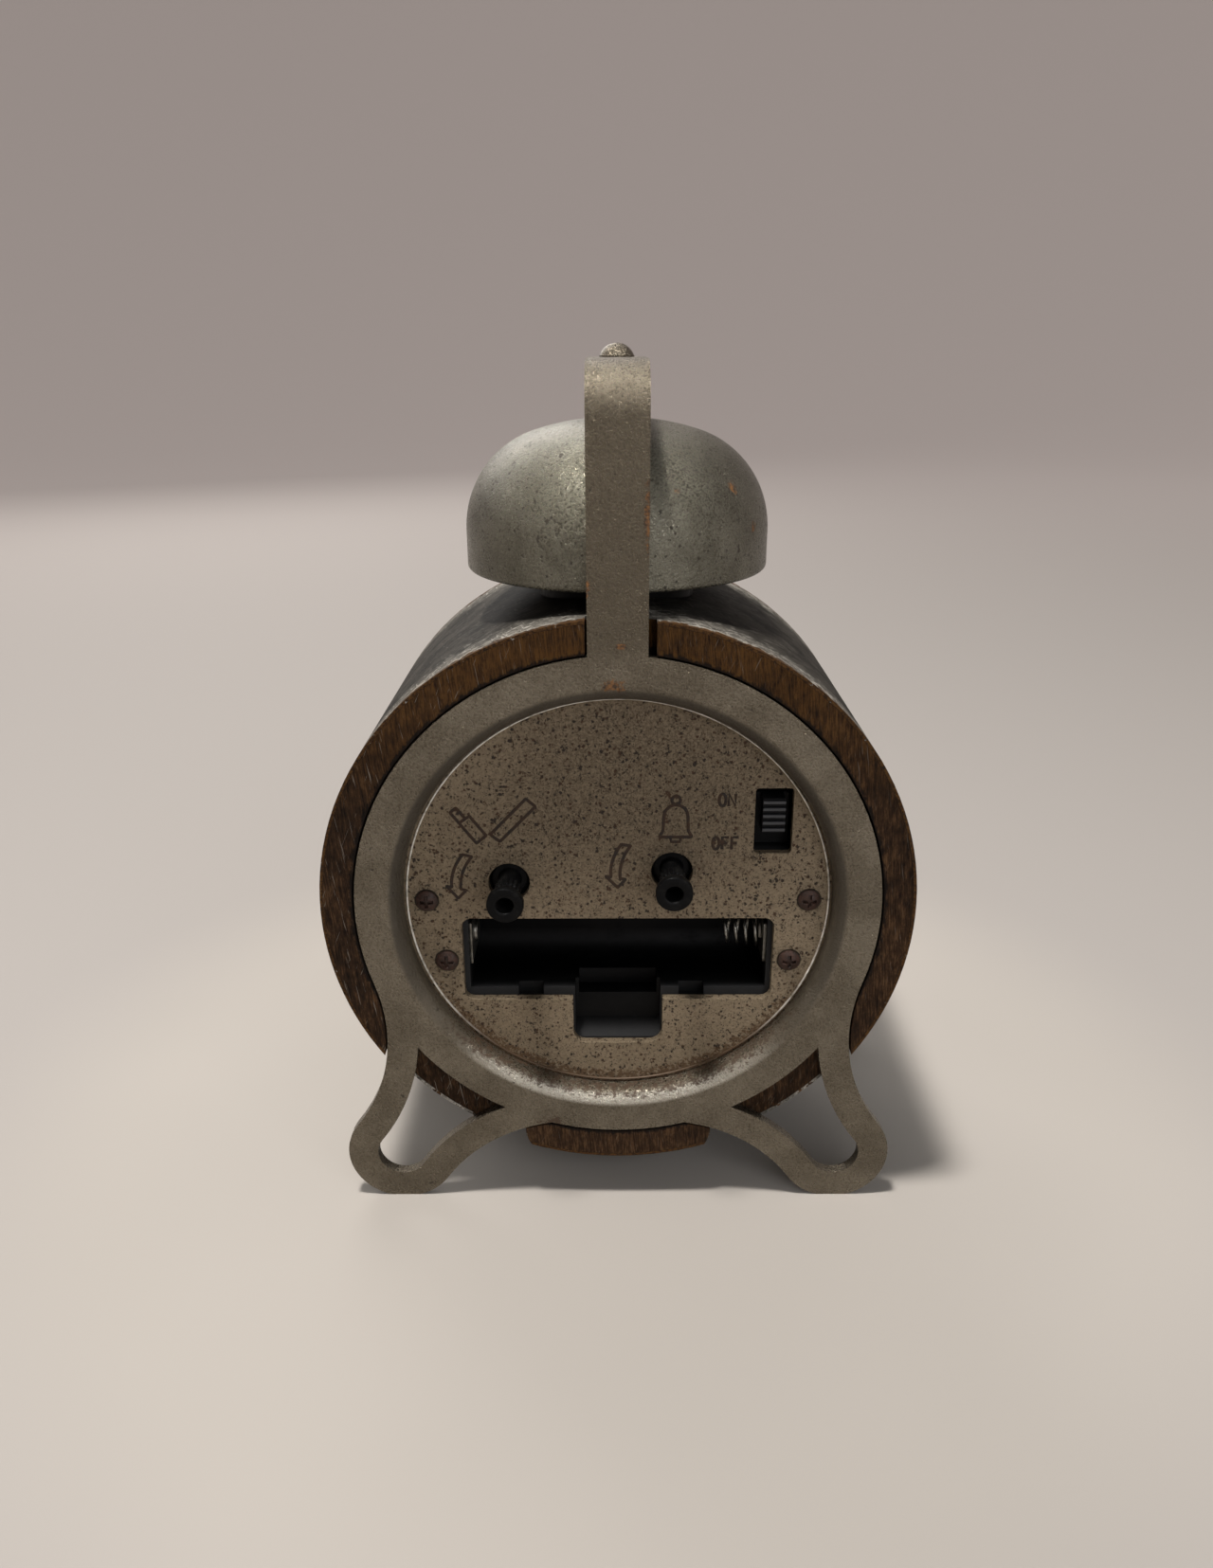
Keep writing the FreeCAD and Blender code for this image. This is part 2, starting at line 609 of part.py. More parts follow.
# ---------------------------------------------------------------- the frames

def make_frame(label, y, angle, layer):
    """One stamped frame: flat ring with a rolled lip, two looped legs and half of the strap.

    It is drawn with its outer face on y = 0. Layer 0 is the strap that ends on top, layer 1 the one under it.
    """
    body = new_body(label, y, angle)
    profile = new_sketch(body, "YZ_Plane")
    ring, dish, lip = value(RING_RADIUS), value(DISH_RADIUS), value(LIP_RADIUS)
    thickness, depth, wall = value("frame_thickness"), value("lip_depth"), value("lip_wall")
    roll = dish - lip
    roll_middle = (-roll + roll * cos(pi / 4), dish - roll * sin(pi / 4))
    outline(profile, (0, ring), (
        (0, dish),
        (roll_middle, (-roll, lip)),
        (-depth, lip),
        (-depth, lip + wall),
        (-thickness, dish + roll / 4),
        (-thickness, ring),
        (0, ring),
    ))
    revolve(body, profile)
    legs = new_sketch(body, "XZ_Plane")
    draw_leg(legs, 1)
    draw_leg(legs, -1)
    pad(body, legs, "frame_thickness")

    top = value(f"{STRAP_TOP} - {layer} * frame_thickness")
    bend = value(f"strap_bend - {layer} * frame_thickness")
    inner_bend = bend - thickness
    run = value(HALF_DEPTH)
    low = value(f"{RING_RADIUS} - root_depth")
    strap = new_sketch(body, "YZ_Plane")
    corner = (-bend, top - bend)
    outline(strap, (0, low), (
        (0, top - bend),
        arc(corner, (0, top - bend), (-bend, top)),
        (-run, top),
        (-run, top - thickness),
        (-bend, top - thickness),
        arc(corner, (-bend, top - thickness), (inner_bend - bend, top - bend)),
        (-thickness, low),
        (0, low),
    ))
    pad(body, strap, "strap_width", symmetric=True)
    end = new_sketch(body, "XY_Plane", f"{STRAP_TOP} - {layer + 1} * frame_thickness")
    circle(end, "strap_width / 2", "0", f"-{HALF_DEPTH}")
    pad(body, end, "frame_thickness")
    hole = new_sketch(body, "XY_Plane", f"{STRAP_TOP} - {layer} * frame_thickness")
    circle(hole, "dome_shank + running_gap", "0", f"-{HALF_DEPTH}")
    pocket(body, hole, "frame_thickness")
    return body


# ---------------------------------------------------------------- back cover and screws

SCREWS = (
    ("cover_screw_upper_left", UPPER_SCREW_X, "upper_screw_z"),
    ("cover_screw_upper_right", f"-{UPPER_SCREW_X}", "upper_screw_z"),
    ("cover_screw_lower_left", LOWER_SCREW_X, "lower_screw_z"),
    ("cover_screw_lower_right", f"-{LOWER_SCREW_X}", "lower_screw_z"),
)
KNOBS = (
    ("time_set_knob", "time_knob_x", "time_knob_z"),
    ("alarm_set_knob", "alarm_knob_x", "alarm_knob_z"),
)


def make_back_cover():
    """The disc inside the dish: battery opening and latch notch, knob holes, switch slot, screw holes."""
    body = new_body("back_cover", COVER_Y)
    disc = new_sketch(body, "XZ_Plane")
    circle(disc, DISC_RADIUS)
    for label, x, z in SCREWS:
        circle(disc, "screw_radius + seat_gap", x, z)
    for label, x, z in KNOBS:
        circle(disc, "knob_hole_radius", x, z)
    pad(body, disc, "cover_thickness")
    bay = new_sketch(body, "XZ_Plane")
    rectangle(bay, f"-{BAY_END_X}", "bay_bottom", BAY_END_X, "bay_top")
    opening = pocket(body, bay, "cover_thickness", backwards=True)
    opening = round_edges(body, opening, "bay_corner", is_bay_corner)
    latch = new_sketch(body, "XZ_Plane")
    rectangle(latch, "-latch_x", LATCH_BOTTOM, "latch_x", "bay_bottom + bay_ledge")
    opening = pocket(body, latch, "cover_thickness", backwards=True)
    round_edges(body, opening, "latch_corner", is_latch_corner)
    switch = new_sketch(body, "XZ_Plane")
    draw_switch_slot(switch)
    opening = pocket(body, switch, "cover_thickness", backwards=True)
    round_edges(body, opening, "switch_corner", is_switch_corner)
    return body


def draw_switch_slot(sketch):
    """The upright slot of the alarm switch, in the cover and in the housing."""
    rectangle(sketch, f"{SWITCH_X} - switch_width / 2", "switch_z - switch_height / 2",
              f"{SWITCH_X} + switch_width / 2", "switch_z + switch_height / 2")


def is_upright_at(edge, x, z):
    """True for an edge that runs front to rear through (x, z)."""
    start = edge.Vertexes[0].Point
    return runs_along(edge, Vector(0, 1, 0)) and abs(abs(start.x) - abs(x)) < 1e-6 and abs(start.z - z) < 1e-6


def is_bay_corner(edge):
    """True at the four corners of the battery opening."""
    side = value(BAY_END_X)
    return is_upright_at(edge, side, value("bay_top")) or is_upright_at(edge, side, value("bay_bottom"))


def is_latch_corner(edge):
    """True at the two lower corners of the latch notch."""
    return is_upright_at(edge, value("latch_x"), value(LATCH_BOTTOM))


def is_switch_corner(edge):
    """True at the four corners of the switch slot."""
    half = value("switch_height / 2")
    return any(
        is_upright_at(edge, value(f"{SWITCH_X} + {side} * switch_width / 2"), value("switch_z") + end * half)
        for side in (-1, 1)
        for end in (-1, 1)
    )


def make_cover_screw(label, x, z):
    """A domed screw, its head on the cover's rear face."""
    body = new_body(label, COVER_Y, x=x, z=z)
    profile = new_sketch(body, "YZ_Plane")
    head, height, rim = value("screw_head_radius"), value("screw_head_height"), value("screw_head_rim")
    shank, tip = value("screw_radius"), -value("screw_length")
    middle = (dome_centre(height, rim, head), 0)
    outline(profile, (height, 0), (
        arc(middle, (height, 0), (rim, head)),
        (0, head),
        (0, shank),
        (tip + shank, shank),
        (tip, 0),
        (height, 0),
    ))
    revolve(body, profile)
    return body


# ---------------------------------------------------------------- movement housing

def make_movement_housing():
    """The moulded movement: screw ears, battery bay with latch pocket, knob wells and the switch slot."""
    body = new_body("movement_housing", HOUSING_Y)
    block = new_sketch(body, "XZ_Plane")
    rectangle(block, f"-{HOUSING_SIDE_X}", f"-{HOUSING_SIDE_X}", HOUSING_SIDE_X, HOUSING_TOP)
    base = pad(body, block, "housing_depth")
    round_edges(body, base, "housing_corner", lambda edge: runs_along(edge, Vector(0, 1, 0)))
    for label, x, z in SCREWS:
        ear = new_sketch(body, "XZ_Plane")
        circle(ear, "ear_radius", x, z)
        pad(body, ear, "ear_depth")
    web = new_sketch(body, "XZ_Plane")
    rectangle(web, f"-{UPPER_SCREW_X}", "upper_screw_z - ear_radius",
              UPPER_SCREW_X, "upper_screw_z + ear_radius")
    pad(body, web, "ear_depth")
    holes = new_sketch(body, "XZ_Plane")
    for label, x, z in SCREWS:
        circle(holes, "screw_radius + seat_gap", x, z)
    pocket(body, holes, "screw_length", backwards=True)

    bay = new_sketch(body, "XZ_Plane")
    rectangle(bay, f"-{BAY_WALL_X}", "bay_bottom + bay_ledge", BAY_WALL_X, "bay_top + bay_head")
    bay_cut = pocket(body, bay, "bay_depth", backwards=True)
    round_edges(body, bay_cut, "bay_cradle", is_bay_floor)
    hooks = new_sketch(body, "XZ_Plane")
    for middle in ("hook_left_x", "hook_right_x"):
        rectangle(hooks, f"{middle} - hook_width / 2", "bay_bottom - bay_ledge / 2",
                  f"{middle} + hook_width / 2", "bay_bottom + 2 * bay_ledge")
    pocket(body, hooks, "hook_depth", backwards=True)
    latch = new_sketch(body, "YZ_Plane")
    low, high = value(f"{LATCH_BOTTOM} + free_gap"), value("bay_bottom + 2 * bay_ledge")
    depth = value("latch_depth")
    outline(latch, (0, low), (
        (-depth, low + value("latch_slope")),
        (-depth, high),
        (0, high),
        (0, low),
    ))
    pocket(body, latch, "2 * (latch_x - free_gap)", symmetric=True)
    hollow = new_sketch(body, "XZ_Plane")
    rectangle(hollow, "bay_wall - latch_x", f"{LATCH_BOTTOM} + free_gap + latch_floor",
              "latch_x - bay_wall", "bay_bottom + 2 * bay_ledge")
    pocket(body, hollow, "hollow_depth", backwards=True)

    wells = new_sketch(body, "XZ_Plane")
    for label, x, z in KNOBS:
        circle(wells, "knob_hole_radius + free_gap", x, z)
    pocket(body, wells, "knob_length - knob_proud - lip_depth - cover_thickness + free_gap", backwards=True)
    bores = new_sketch(body, "XZ_Plane")
    for label, x, z in KNOBS:
        circle(bores, "knob_shaft_radius + running_gap", x, z)
    reach = "knob_length + knob_shaft_length - knob_proud - lip_depth - cover_thickness + free_gap"
    pocket(body, bores, reach, backwards=True)
    slide = new_sketch(body, "XZ_Plane")
    draw_switch_slot(slide)
    pocket(body, slide, "slide_depth", backwards=True)
    return body


def is_bay_floor(edge):
    """True for the two long edges of the battery bay's floor."""
    return runs_along(edge, Vector(1, 0, 0)) and abs(edge.Vertexes[0].Point.y + value("bay_depth")) < 1e-6


def make_movement_lid():
    """The front lid with the tower that carries the dial and the threaded bushing for the hands."""
    body = new_body("movement_lid", LID_Y)
    plate = new_sketch(body, "XZ_Plane")
    rectangle(plate, f"-{HOUSING_SIDE_X}", f"-{HOUSING_SIDE_X}", HOUSING_SIDE_X, HOUSING_TOP)
    base = pad(body, plate, "lid_thickness")
    round_edges(body, base, "housing_corner", lambda edge: runs_along(edge, Vector(0, 1, 0)))
    tower = new_sketch(body, "XZ_Plane")
    circle(tower, "tower_radius")
    pad(body, tower, f"{LID_Y} - {DIAL_SEAT_Y}")
    bushing = new_sketch(body, "XZ_Plane")
    circle(bushing, "bushing_radius")
    pad(body, bushing, f"{LID_Y} - {DIAL_Y} + bushing_proud")
    bore = new_sketch(body, "XZ_Plane", f"{LID_Y} - {DIAL_Y} + bushing_proud")
    circle(bore, "alarm_collet + running_gap")
    pocket(body, bore, "dial_thickness + bushing_proud + collet_reach")
    return body


def make_battery_contact():
    """The flat contact of the cell's button end, against the end wall of the bay."""
    body = new_body("battery_contact", HOUSING_Y, x=BAY_WALL_X)
    plate = new_sketch(body, "XZ_Plane", "cell_depth - contact_drop / 2")
    rectangle(plate, "-contact_thickness", f"{BAY_MIDDLE_Z} - contact_height / 2",
              "0", f"{BAY_MIDDLE_Z} + contact_height / 2")
    pad(body, plate, "contact_drop")
    nub = new_sketch(body, "YZ_Plane", "-contact_thickness")
    circle(nub, "nub_radius", "-cell_depth", BAY_MIDDLE_Z)
    pad(body, nub, "nub_height", backwards=True)
    return body


def make_battery_spring():
    """The tapered coil spring of the cell's flat end, on its own contact plate."""
    middle = value(BAY_MIDDLE_Z)
    depth, thickness = value("cell_depth"), value("contact_thickness")
    height, drop = value("contact_height"), value("contact_drop")
    length, wire = value("spring_length"), value("wire_radius")
    wide, tip = value("spring_radius"), value("spring_tip_radius")
    start = thickness + wire * 0.7
    pitch = (length - start - wire) / value("spring_turns")
    slope = -(wide - tip) / (length - start - wire)
    coil = Part.makeLongHelix(pitch, length - start - wire, wide, 180 / pi * slope)
    corners = [Vector(wide + wire * cos(step * pi / 3), 0, wire * sin(step * pi / 3)) for step in range(7)]
    section = Part.makePolygon(corners)
    spring = Part.Wire(coil.Edges).makePipeShell([section], True, True)
    spring.Placement = Placement(Vector(start, -depth, middle), Rotation(Vector(0, 1, 0), 90))
    plate = Part.makeBox(thickness, drop, height, Vector(0, -depth - drop / 2, middle - height / 2))
    feature = doc.addObject("Part::Feature", "battery_spring")
    feature.Label = "battery_spring"
    feature.Shape = plate.fuse(spring)
    feature.Placement = Placement(Vector(-value(BAY_WALL_X), value(HOUSING_Y), value(CENTRE_HEIGHT)),
                                  Rotation())
    return feature


# ---------------------------------------------------------------- knobs and switch

def make_knob(label, x, z):
    """A setting knob: flange with a hollow end, a slimmer ridged neck, a foot in the well, and the shaft."""
    body = new_body(label, f"{REAR_Y} + knob_proud", x=x, z=z)
    profile = new_sketch(body, "YZ_Plane")
    radius, neck, length = value("knob_radius"), value("knob_neck"), value("knob_length")
    flange, foot = value("knob_flange"), value("knob_foot")
    shaft, tail = value("knob_shaft_radius"), value("knob_length + knob_shaft_length")
    dimple, hollow = value("knob_dimple"), value("dimple_depth")
    outline(profile, (-hollow, 0), (
        (-hollow, dimple),
        (0, dimple),
        (0, radius),
        (-flange, radius),
        (-flange, neck),
        (-length + foot, neck),
        (-length + foot, radius),
        (-length, radius),
        (-length, shaft),
        (-tail, shaft),
        (-tail, 0),
        (-hollow, 0),
    ))
    revolve(body, profile)
    ridge = new_sketch(body, "XZ_Plane", "knob_flange")
    half = value("ridge_width") / 2
    root, tip = value("knob_neck - ridge_height"), value("knob_neck + ridge_height")
    outline(ridge, (-half, root), ((0, tip), (half, root), (-half, root)))
    first = pad(body, ridge, "knob_length - knob_flange - knob_foot")
    ring = body.newObject("PartDesign::PolarPattern", f"{label}_ridges")
    ring.Originals = [first]
    ring.Axis = (ridge, ["N_Axis"])
    ring.Angle = 360
    bind(ring, "Occurrences", "ridge_count")
    body.Tip = ring
    return body


def make_alarm_switch():
    """The ribbed slide switch, at rest in its upper place."""
    body = new_body("alarm_switch", HOUSING_Y, x=SWITCH_X, z=SLIDER_Z)
    base = new_sketch(body, "XZ_Plane", "slide_depth - slider_base - seat_gap")
    half_base = "(switch_width / 2 - free_gap)"
    rectangle(base, f"-{half_base}", "-slider_height / 2", half_base, "slider_height / 2")
    pad(body, base, "slider_base")
    finger = new_sketch(body, "YZ_Plane")
    rectangle(finger, "-slide_depth + seat_gap + slider_base / 2", "-slider_height / 2",
              "cover_thickness + slider_proud - rib_height", "slider_height / 2")
    pad(body, finger, "slider_width", symmetric=True)
    rib = new_sketch(body, "YZ_Plane")
    foot = value("cover_thickness + slider_proud - rib_height")
    end, pitch = value("slider_height / 2"), value("slider_height / rib_count")
    outline(rib, (foot, end), (
        (foot, end - pitch),
        (foot + value("rib_height"), end - pitch / 2),
        (foot, end),
    ))
    first = pad(body, rib, "slider_width", symmetric=True)
    row = body.newObject("PartDesign::LinearPattern", "switch_ribs")
    row.Originals = [first]
    row.Direction = (rib, ["V_Axis"])
    row.Reversed = True
    bind(row, "Length", "slider_height - slider_height / rib_count")
    bind(row, "Occurrences", "rib_count")
    body.Tip = row
    return body


# ---------------------------------------------------------------- bell, post and top screw

def bell_profile(wall):
    """Centres of the shoulder and crown, and where their arcs meet on a face wall inside the bell."""
    crown = value(BELL_CROWN)
    shoulder_centre = (value(f"{BELL_RADIUS} - {BELL_SHOULDER}"), value("bell_skirt"))
    crown_centre = (0, value("bell_height") - crown)
    return shoulder_centre, crown_centre, towards(crown_centre, shoulder_centre, crown - wall)


def make_bell():
    """The cup bell: upright skirt, rounded shoulder and flatter crown, of even wall, with a rounded rim."""
    body = new_body("bell", MIDDLE_Y, z=RIM_Z)
    profile = new_sketch(body, "XZ_Plane")
    radius, skirt, wall = value(BELL_RADIUS), value("bell_skirt"), value("bell_wall")
    hole = value("post_radius + seat_gap")
    shoulder, crown, outer = bell_profile(0)
    inner = bell_profile(wall)[2]
    size = value(BELL_CROWN)
    top = (hole, crown[1] + sqrt(size ** 2 - hole ** 2))
    under = (hole, crown[1] + sqrt((size - wall) ** 2 - hole ** 2))
    outline(profile, (radius, 0), (
        (radius, skirt),
        arc(shoulder, (radius, skirt), outer),
        arc(crown, outer, top),
        under,
        arc(crown, under, inner),
        arc(shoulder, inner, (radius - wall, skirt)),
        (radius - wall, 0),
        (radius, 0),
    ))
    cup = revolve(body, profile, "V_Axis")
    rim = (radius, radius - wall)
    round_edges(body, cup, "bell_rim_radius", lambda edge: any(is_circle(edge, side) for side in rim)
                and abs(edge.BoundBox.Center.z) < 1e-3)
    return body


def make_bell_base():
    """The black pad on the drum under the bell, hollowed to the drum's round top."""
    body = new_body("bell_base", MIDDLE_Y)
    disc = new_sketch(body, "XY_Plane", CORE_BORE)
    circle(disc, "base_radius")
    circle(disc, "post_radius + seat_gap")
    pad(body, disc, f"{BASE_TOP} - {CORE_BORE}")
    drum = new_sketch(body, "XZ_Plane")
    circle(drum, "case_radius + seat_gap")
    pocket(body, drum, "4 * base_radius", symmetric=True)
    return body


def make_sleeve(label, low, high):
    """A plain spacer sleeve on the post between two heights."""
    body = new_body(label, MIDDLE_Y)
    ring = new_sketch(body, "XY_Plane", low)
    circle(ring, "sleeve_radius")
    circle(ring, "post_radius + seat_gap")
    pad(body, ring, f"{high} - {low}")
    return body


def make_bell_post():
    """The rod from inside the drum to the strap, tapped at the top for the domed screw."""
    body = new_body("bell_post", MIDDLE_Y)
    rod = new_sketch(body, "XY_Plane", f"{CORE_BORE} - post_tail")
    circle(rod, "post_radius")
    pad(body, rod, f"{STRAP_UNDER} - {CORE_BORE} + post_tail")
    tap = new_sketch(body, "XY_Plane", STRAP_UNDER)
    circle(tap, "dome_shank + seat_gap")
    pocket(body, tap, "dome_length - 2 * frame_thickness + free_gap")
    return body


def hexagon(sketch, flats):
    """A hexagon about the sketch's origin, by its width across flats."""
    corner = value(flats) / sqrt(3)
    corners = [(corner * cos(step * pi / 3), corner * sin(step * pi / 3)) for step in range(7)]
    outline(sketch, corners[0], corners[1:])


def make_post_nut():
    """The nut that draws the bell post down inside the drum."""
    body = new_body("post_nut", MIDDLE_Y)
    top = f"sqrt({CORE_BORE} ^ 2 - nut_flats ^ 2 / 3)"
    face = new_sketch(body, "XY_Plane", f"{top} - nut_height")
    hexagon(face, "nut_flats")
    circle(face, "post_radius + seat_gap")
    pad(body, face, "nut_height")
    return body


def make_top_screw():
    """The domed screw that joins both straps to the post."""
    body = new_body("top_screw", MIDDLE_Y, z=STRAP_TOP)
    profile = new_sketch(body, "XZ_Plane")
    radius, height = value("dome_radius"), value("dome_height")
    shank, length = value("dome_shank"), value("dome_length")
    outline(profile, (0, height), (
        arc((0, dome_centre(height, 0, radius)), (0, height), (radius, 0)),
        (shank, 0),
        (shank, -length),
        (0, -length),
        (0, height),
    ))
    revolve(body, profile, "V_Axis")
    return body


# ---------------------------------------------------------------- dial side

def make_disc(label, rear_face, thickness, hole=None):
    """A thin disc that fits the drum, its rear face at the given depth."""
    body = new_body(label, rear_face)
    face = new_sketch(body, "XZ_Plane")
    circle(face, DISC_RADIUS)
    if hole:
        circle(face, hole)
    pad(body, face, thickness)
    return body


def make_dial_ring():
    """The conical spacer between the dial and the lens."""
    body = new_body("dial_ring", DIAL_Y)
    profile = new_sketch(body, "YZ_Plane")
    depth = value(f"{DIAL_Y} - {LENS_Y}")
    outer, bore, mouth = value(DISC_RADIUS), value(f"{LIP_RADIUS} - ring_narrowing"), value(LIP_RADIUS)
    outline(profile, (0, bore), (
        (0, outer),
        (-depth, outer),
        (-depth, mouth),
        (0, bore),
    ))
    revolve(body, profile)
    return body


def make_dial_nut():
    """The nut on the bushing, against the dial."""
    body = new_body("dial_nut", DIAL_Y)
    face = new_sketch(body, "XZ_Plane")
    hexagon(face, "dial_nut_flats")
    circle(face, "bushing_radius + seat_gap")
    pad(body, face, "dial_nut_height")
    return body


REST_MINUTES = 10 * 60 + 8
REST_SECONDS = 35
ALARM_MINUTES = 6 * 60 + 30
HANDS = (
    # label, place in the stack, outer and inner tube, degrees past twelve
    ("alarm_hand", 0, "alarm_collet", "hour_collet", ALARM_MINUTES / 2),
    ("hour_hand", 1, "hour_collet", "minute_collet", REST_MINUTES / 2),
    ("minute_hand", 2, "minute_collet", "second_collet", REST_MINUTES * 6 % 360),
    ("second_hand", 3, "second_collet", None, REST_SECONDS * 6),
)


def make_hand(label, place, tube, inside, angle):
    """One hand with its tube, which runs in the tube of the hand behind it."""
    body = new_body(label, f"{DIAL_Y} - first_blade - {place} * blade_step")
    turned = Rotation(Vector(0, 1, 0), angle)
    body.Placement = Placement(body.Placement.Base, turned)
    hub = new_sketch(body, "XZ_Plane")
    circle(hub, f"{tube} + hub_rim")
    pad(body, hub, "blade_thickness")
    collet = new_sketch(body, "XZ_Plane", "-collet_reach")
    circle(collet, tube)
    pad(body, collet, "collet_reach + blade_thickness")
    blade = new_sketch(body, "XZ_Plane")
    length, half = value(f"{label}_length"), value(f"{label}_width") / 2
    tail = value("second_hand_tail") if label == "second_hand" else 0
    outline(blade, (-half, -tail), (
        (half, -tail),
        (half, length - 2 * half),
        (0, length),
        (-half, length - 2 * half),
        (-half, -tail),
    ))
    pad(body, blade, "blade_thickness")
    if inside:
        bore = new_sketch(body, "XZ_Plane", "-collet_reach")
        circle(bore, f"{inside} + running_gap")
        pocket(body, bore, "collet_reach + blade_thickness", backwards=True)
    return body


# ---------------------------------------------------------------- the whole clock

def make_clock():
    """Every sub-part of the clock, in the order in which it goes together."""
    pieces = [
        make_case_band(),
        make_case_core(),
        make_frame("rear_frame", REAR_Y, 0, 0),
        make_frame("front_frame", FRONT_Y, 180, 1),
        make_back_cover(),
        make_movement_housing(),
        make_movement_lid(),
        make_battery_contact(),
        make_battery_spring(),
        make_alarm_switch(),
        make_bell(),
        make_bell_base(),
        make_sleeve("bell_sleeve", BASE_TOP, BELL_UNDER),
        make_sleeve("strap_sleeve", BELL_TOP, STRAP_UNDER),
        make_bell_post(),
        make_post_nut(),
        make_top_screw(),
        make_disc("dial", DIAL_SEAT_Y, "dial_thickness", "bushing_radius + seat_gap"),
        make_dial_ring(),
        make_disc("lens", LENS_Y, "lens_thickness"),
        make_dial_nut(),
    ]
    pieces += [make_cover_screw(label, x, z) for label, x, z in SCREWS]
    pieces += [make_knob(label, x, z) for label, x, z in KNOBS]
    pieces += [make_hand(*hand) for hand in HANDS]
    return pieces


def check(pieces):
    """Stops the build if any object failed or any sub-part isn't one valid solid."""
    for thing in doc.Objects:
        if "Invalid" in thing.State or "Error" in thing.State:
            raise ValueError(f"{thing.Label} failed: {thing.State}")
    for piece in pieces:
        if piece.Shape.isNull() or not piece.Shape.isValid() or len(piece.Shape.Solids) != 1:
            raise ValueError(f"{piece.Label} isn't one valid solid")


def main():
    pieces = make_clock()
    doc.recompute()
    check(pieces)
    os.makedirs("parts", exist_ok=True)
    for piece in pieces:
        piece.Shape.exportStep(f"parts/{piece.Label}.step")
        print(f"{piece.Label}: {piece.Shape.Volume:.1f} mm3")


main()
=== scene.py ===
# %% [markdown]
# # A twin-frame alarm clock with one bell
# The clock stands on two stamped steel frames, one at each end of a round drum. A strap grows out of the top of
# each frame, and both straps meet over a cup bell. The side that is set, with its knobs, its switch and its open
# battery bay, faces +Y, and the dial faces -Y. The solids are loaded as a fixed frame, in metres. Every piece made
# below lies in that frame, where its solid is, and nothing is fitted by eye.

# %% Load the solids
from math import atan2, cos, degrees, pi, radians, sin, sqrt

import bmesh
import bpy
import numpy as np
from mathutils import Matrix, Vector


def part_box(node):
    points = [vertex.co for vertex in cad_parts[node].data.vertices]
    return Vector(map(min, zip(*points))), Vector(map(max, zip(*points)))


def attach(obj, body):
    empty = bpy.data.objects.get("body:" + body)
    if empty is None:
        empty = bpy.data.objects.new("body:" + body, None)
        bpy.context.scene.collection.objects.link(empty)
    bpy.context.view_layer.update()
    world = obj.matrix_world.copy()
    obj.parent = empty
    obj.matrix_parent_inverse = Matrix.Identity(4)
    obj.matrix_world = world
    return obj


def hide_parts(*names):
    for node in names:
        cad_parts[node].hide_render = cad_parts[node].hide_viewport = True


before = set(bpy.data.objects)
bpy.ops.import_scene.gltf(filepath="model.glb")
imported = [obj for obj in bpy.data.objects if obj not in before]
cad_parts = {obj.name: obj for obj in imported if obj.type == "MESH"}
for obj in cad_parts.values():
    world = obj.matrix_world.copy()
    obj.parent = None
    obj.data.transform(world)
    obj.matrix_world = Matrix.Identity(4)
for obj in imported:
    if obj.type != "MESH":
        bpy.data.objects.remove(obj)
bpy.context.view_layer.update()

# %% [markdown]
# ## The places that everything is measured from
# A clock is drawn about its own axis. These few numbers are the height of that axis, the depths of the faces, and
# the heights of the bell's rim and of the straps. Writing `MM` after a number gives it in millimetres.

# %% Named places
MM = 0.001
AXIS_Z = 59.3 * MM
REAR_FACE = 26.85 * MM
FRONT_FACE = -31.55 * MM
MIDDLE = (REAR_FACE + FRONT_FACE) / 2
COVER_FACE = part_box("back_cover")[1][1]
DIAL_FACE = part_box("dial")[0][1]
BELL_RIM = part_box("bell")[0][2]
STRAP_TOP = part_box("rear_frame")[1][2]


def corners_of(node):
    """The lowest and the highest corner of a solid, as two rows."""
    return np.array(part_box(node))


print("cover at", round(COVER_FACE, 5), "dial at", round(DIAL_FACE, 5), "bell rim at", round(BELL_RIM, 5))

# %% [markdown]
# ## Surfaces from two parameters
# Nearly every new piece is a sheet of points that depends on two numbers: a place round the piece and a place
# along it. Blender could spin or array a profile with modifiers, but whole numpy arrays give every point at once,
# and the formula of the shape stays in sight. One helper, `grid`, turns such a sheet into a mesh.

# %% From a grid of points to an object
def object_from(name, mesh):
    """An object at the origin that carries the mesh, linked to the scene."""
    piece = bpy.data.objects.new(name, mesh)
    bpy.context.scene.collection.objects.link(piece)
    return piece


def shade(mesh, angle=35):
    """Smooth shading, except over edges sharper than the angle."""
    mesh.shade_smooth()
    mesh.set_sharp_from_angle(angle=radians(angle))


def faced(name, points, faces, angle=35):
    """An object from points and faces: coinciding points are merged, and the faces turned outwards."""
    mesh = bpy.data.meshes.new(name)
    mesh.from_pydata(points.tolist(), [], faces)
    shape = bmesh.new()
    shape.from_mesh(mesh)
    bmesh.ops.remove_doubles(shape, verts=shape.verts, dist=1e-7)
    bmesh.ops.dissolve_degenerate(shape, edges=shape.edges, dist=1e-8)
    bmesh.ops.recalc_face_normals(shape, faces=shape.faces)
    shape.to_mesh(mesh)
    shape.free()
    shade(mesh, angle)
    return object_from(name, mesh)


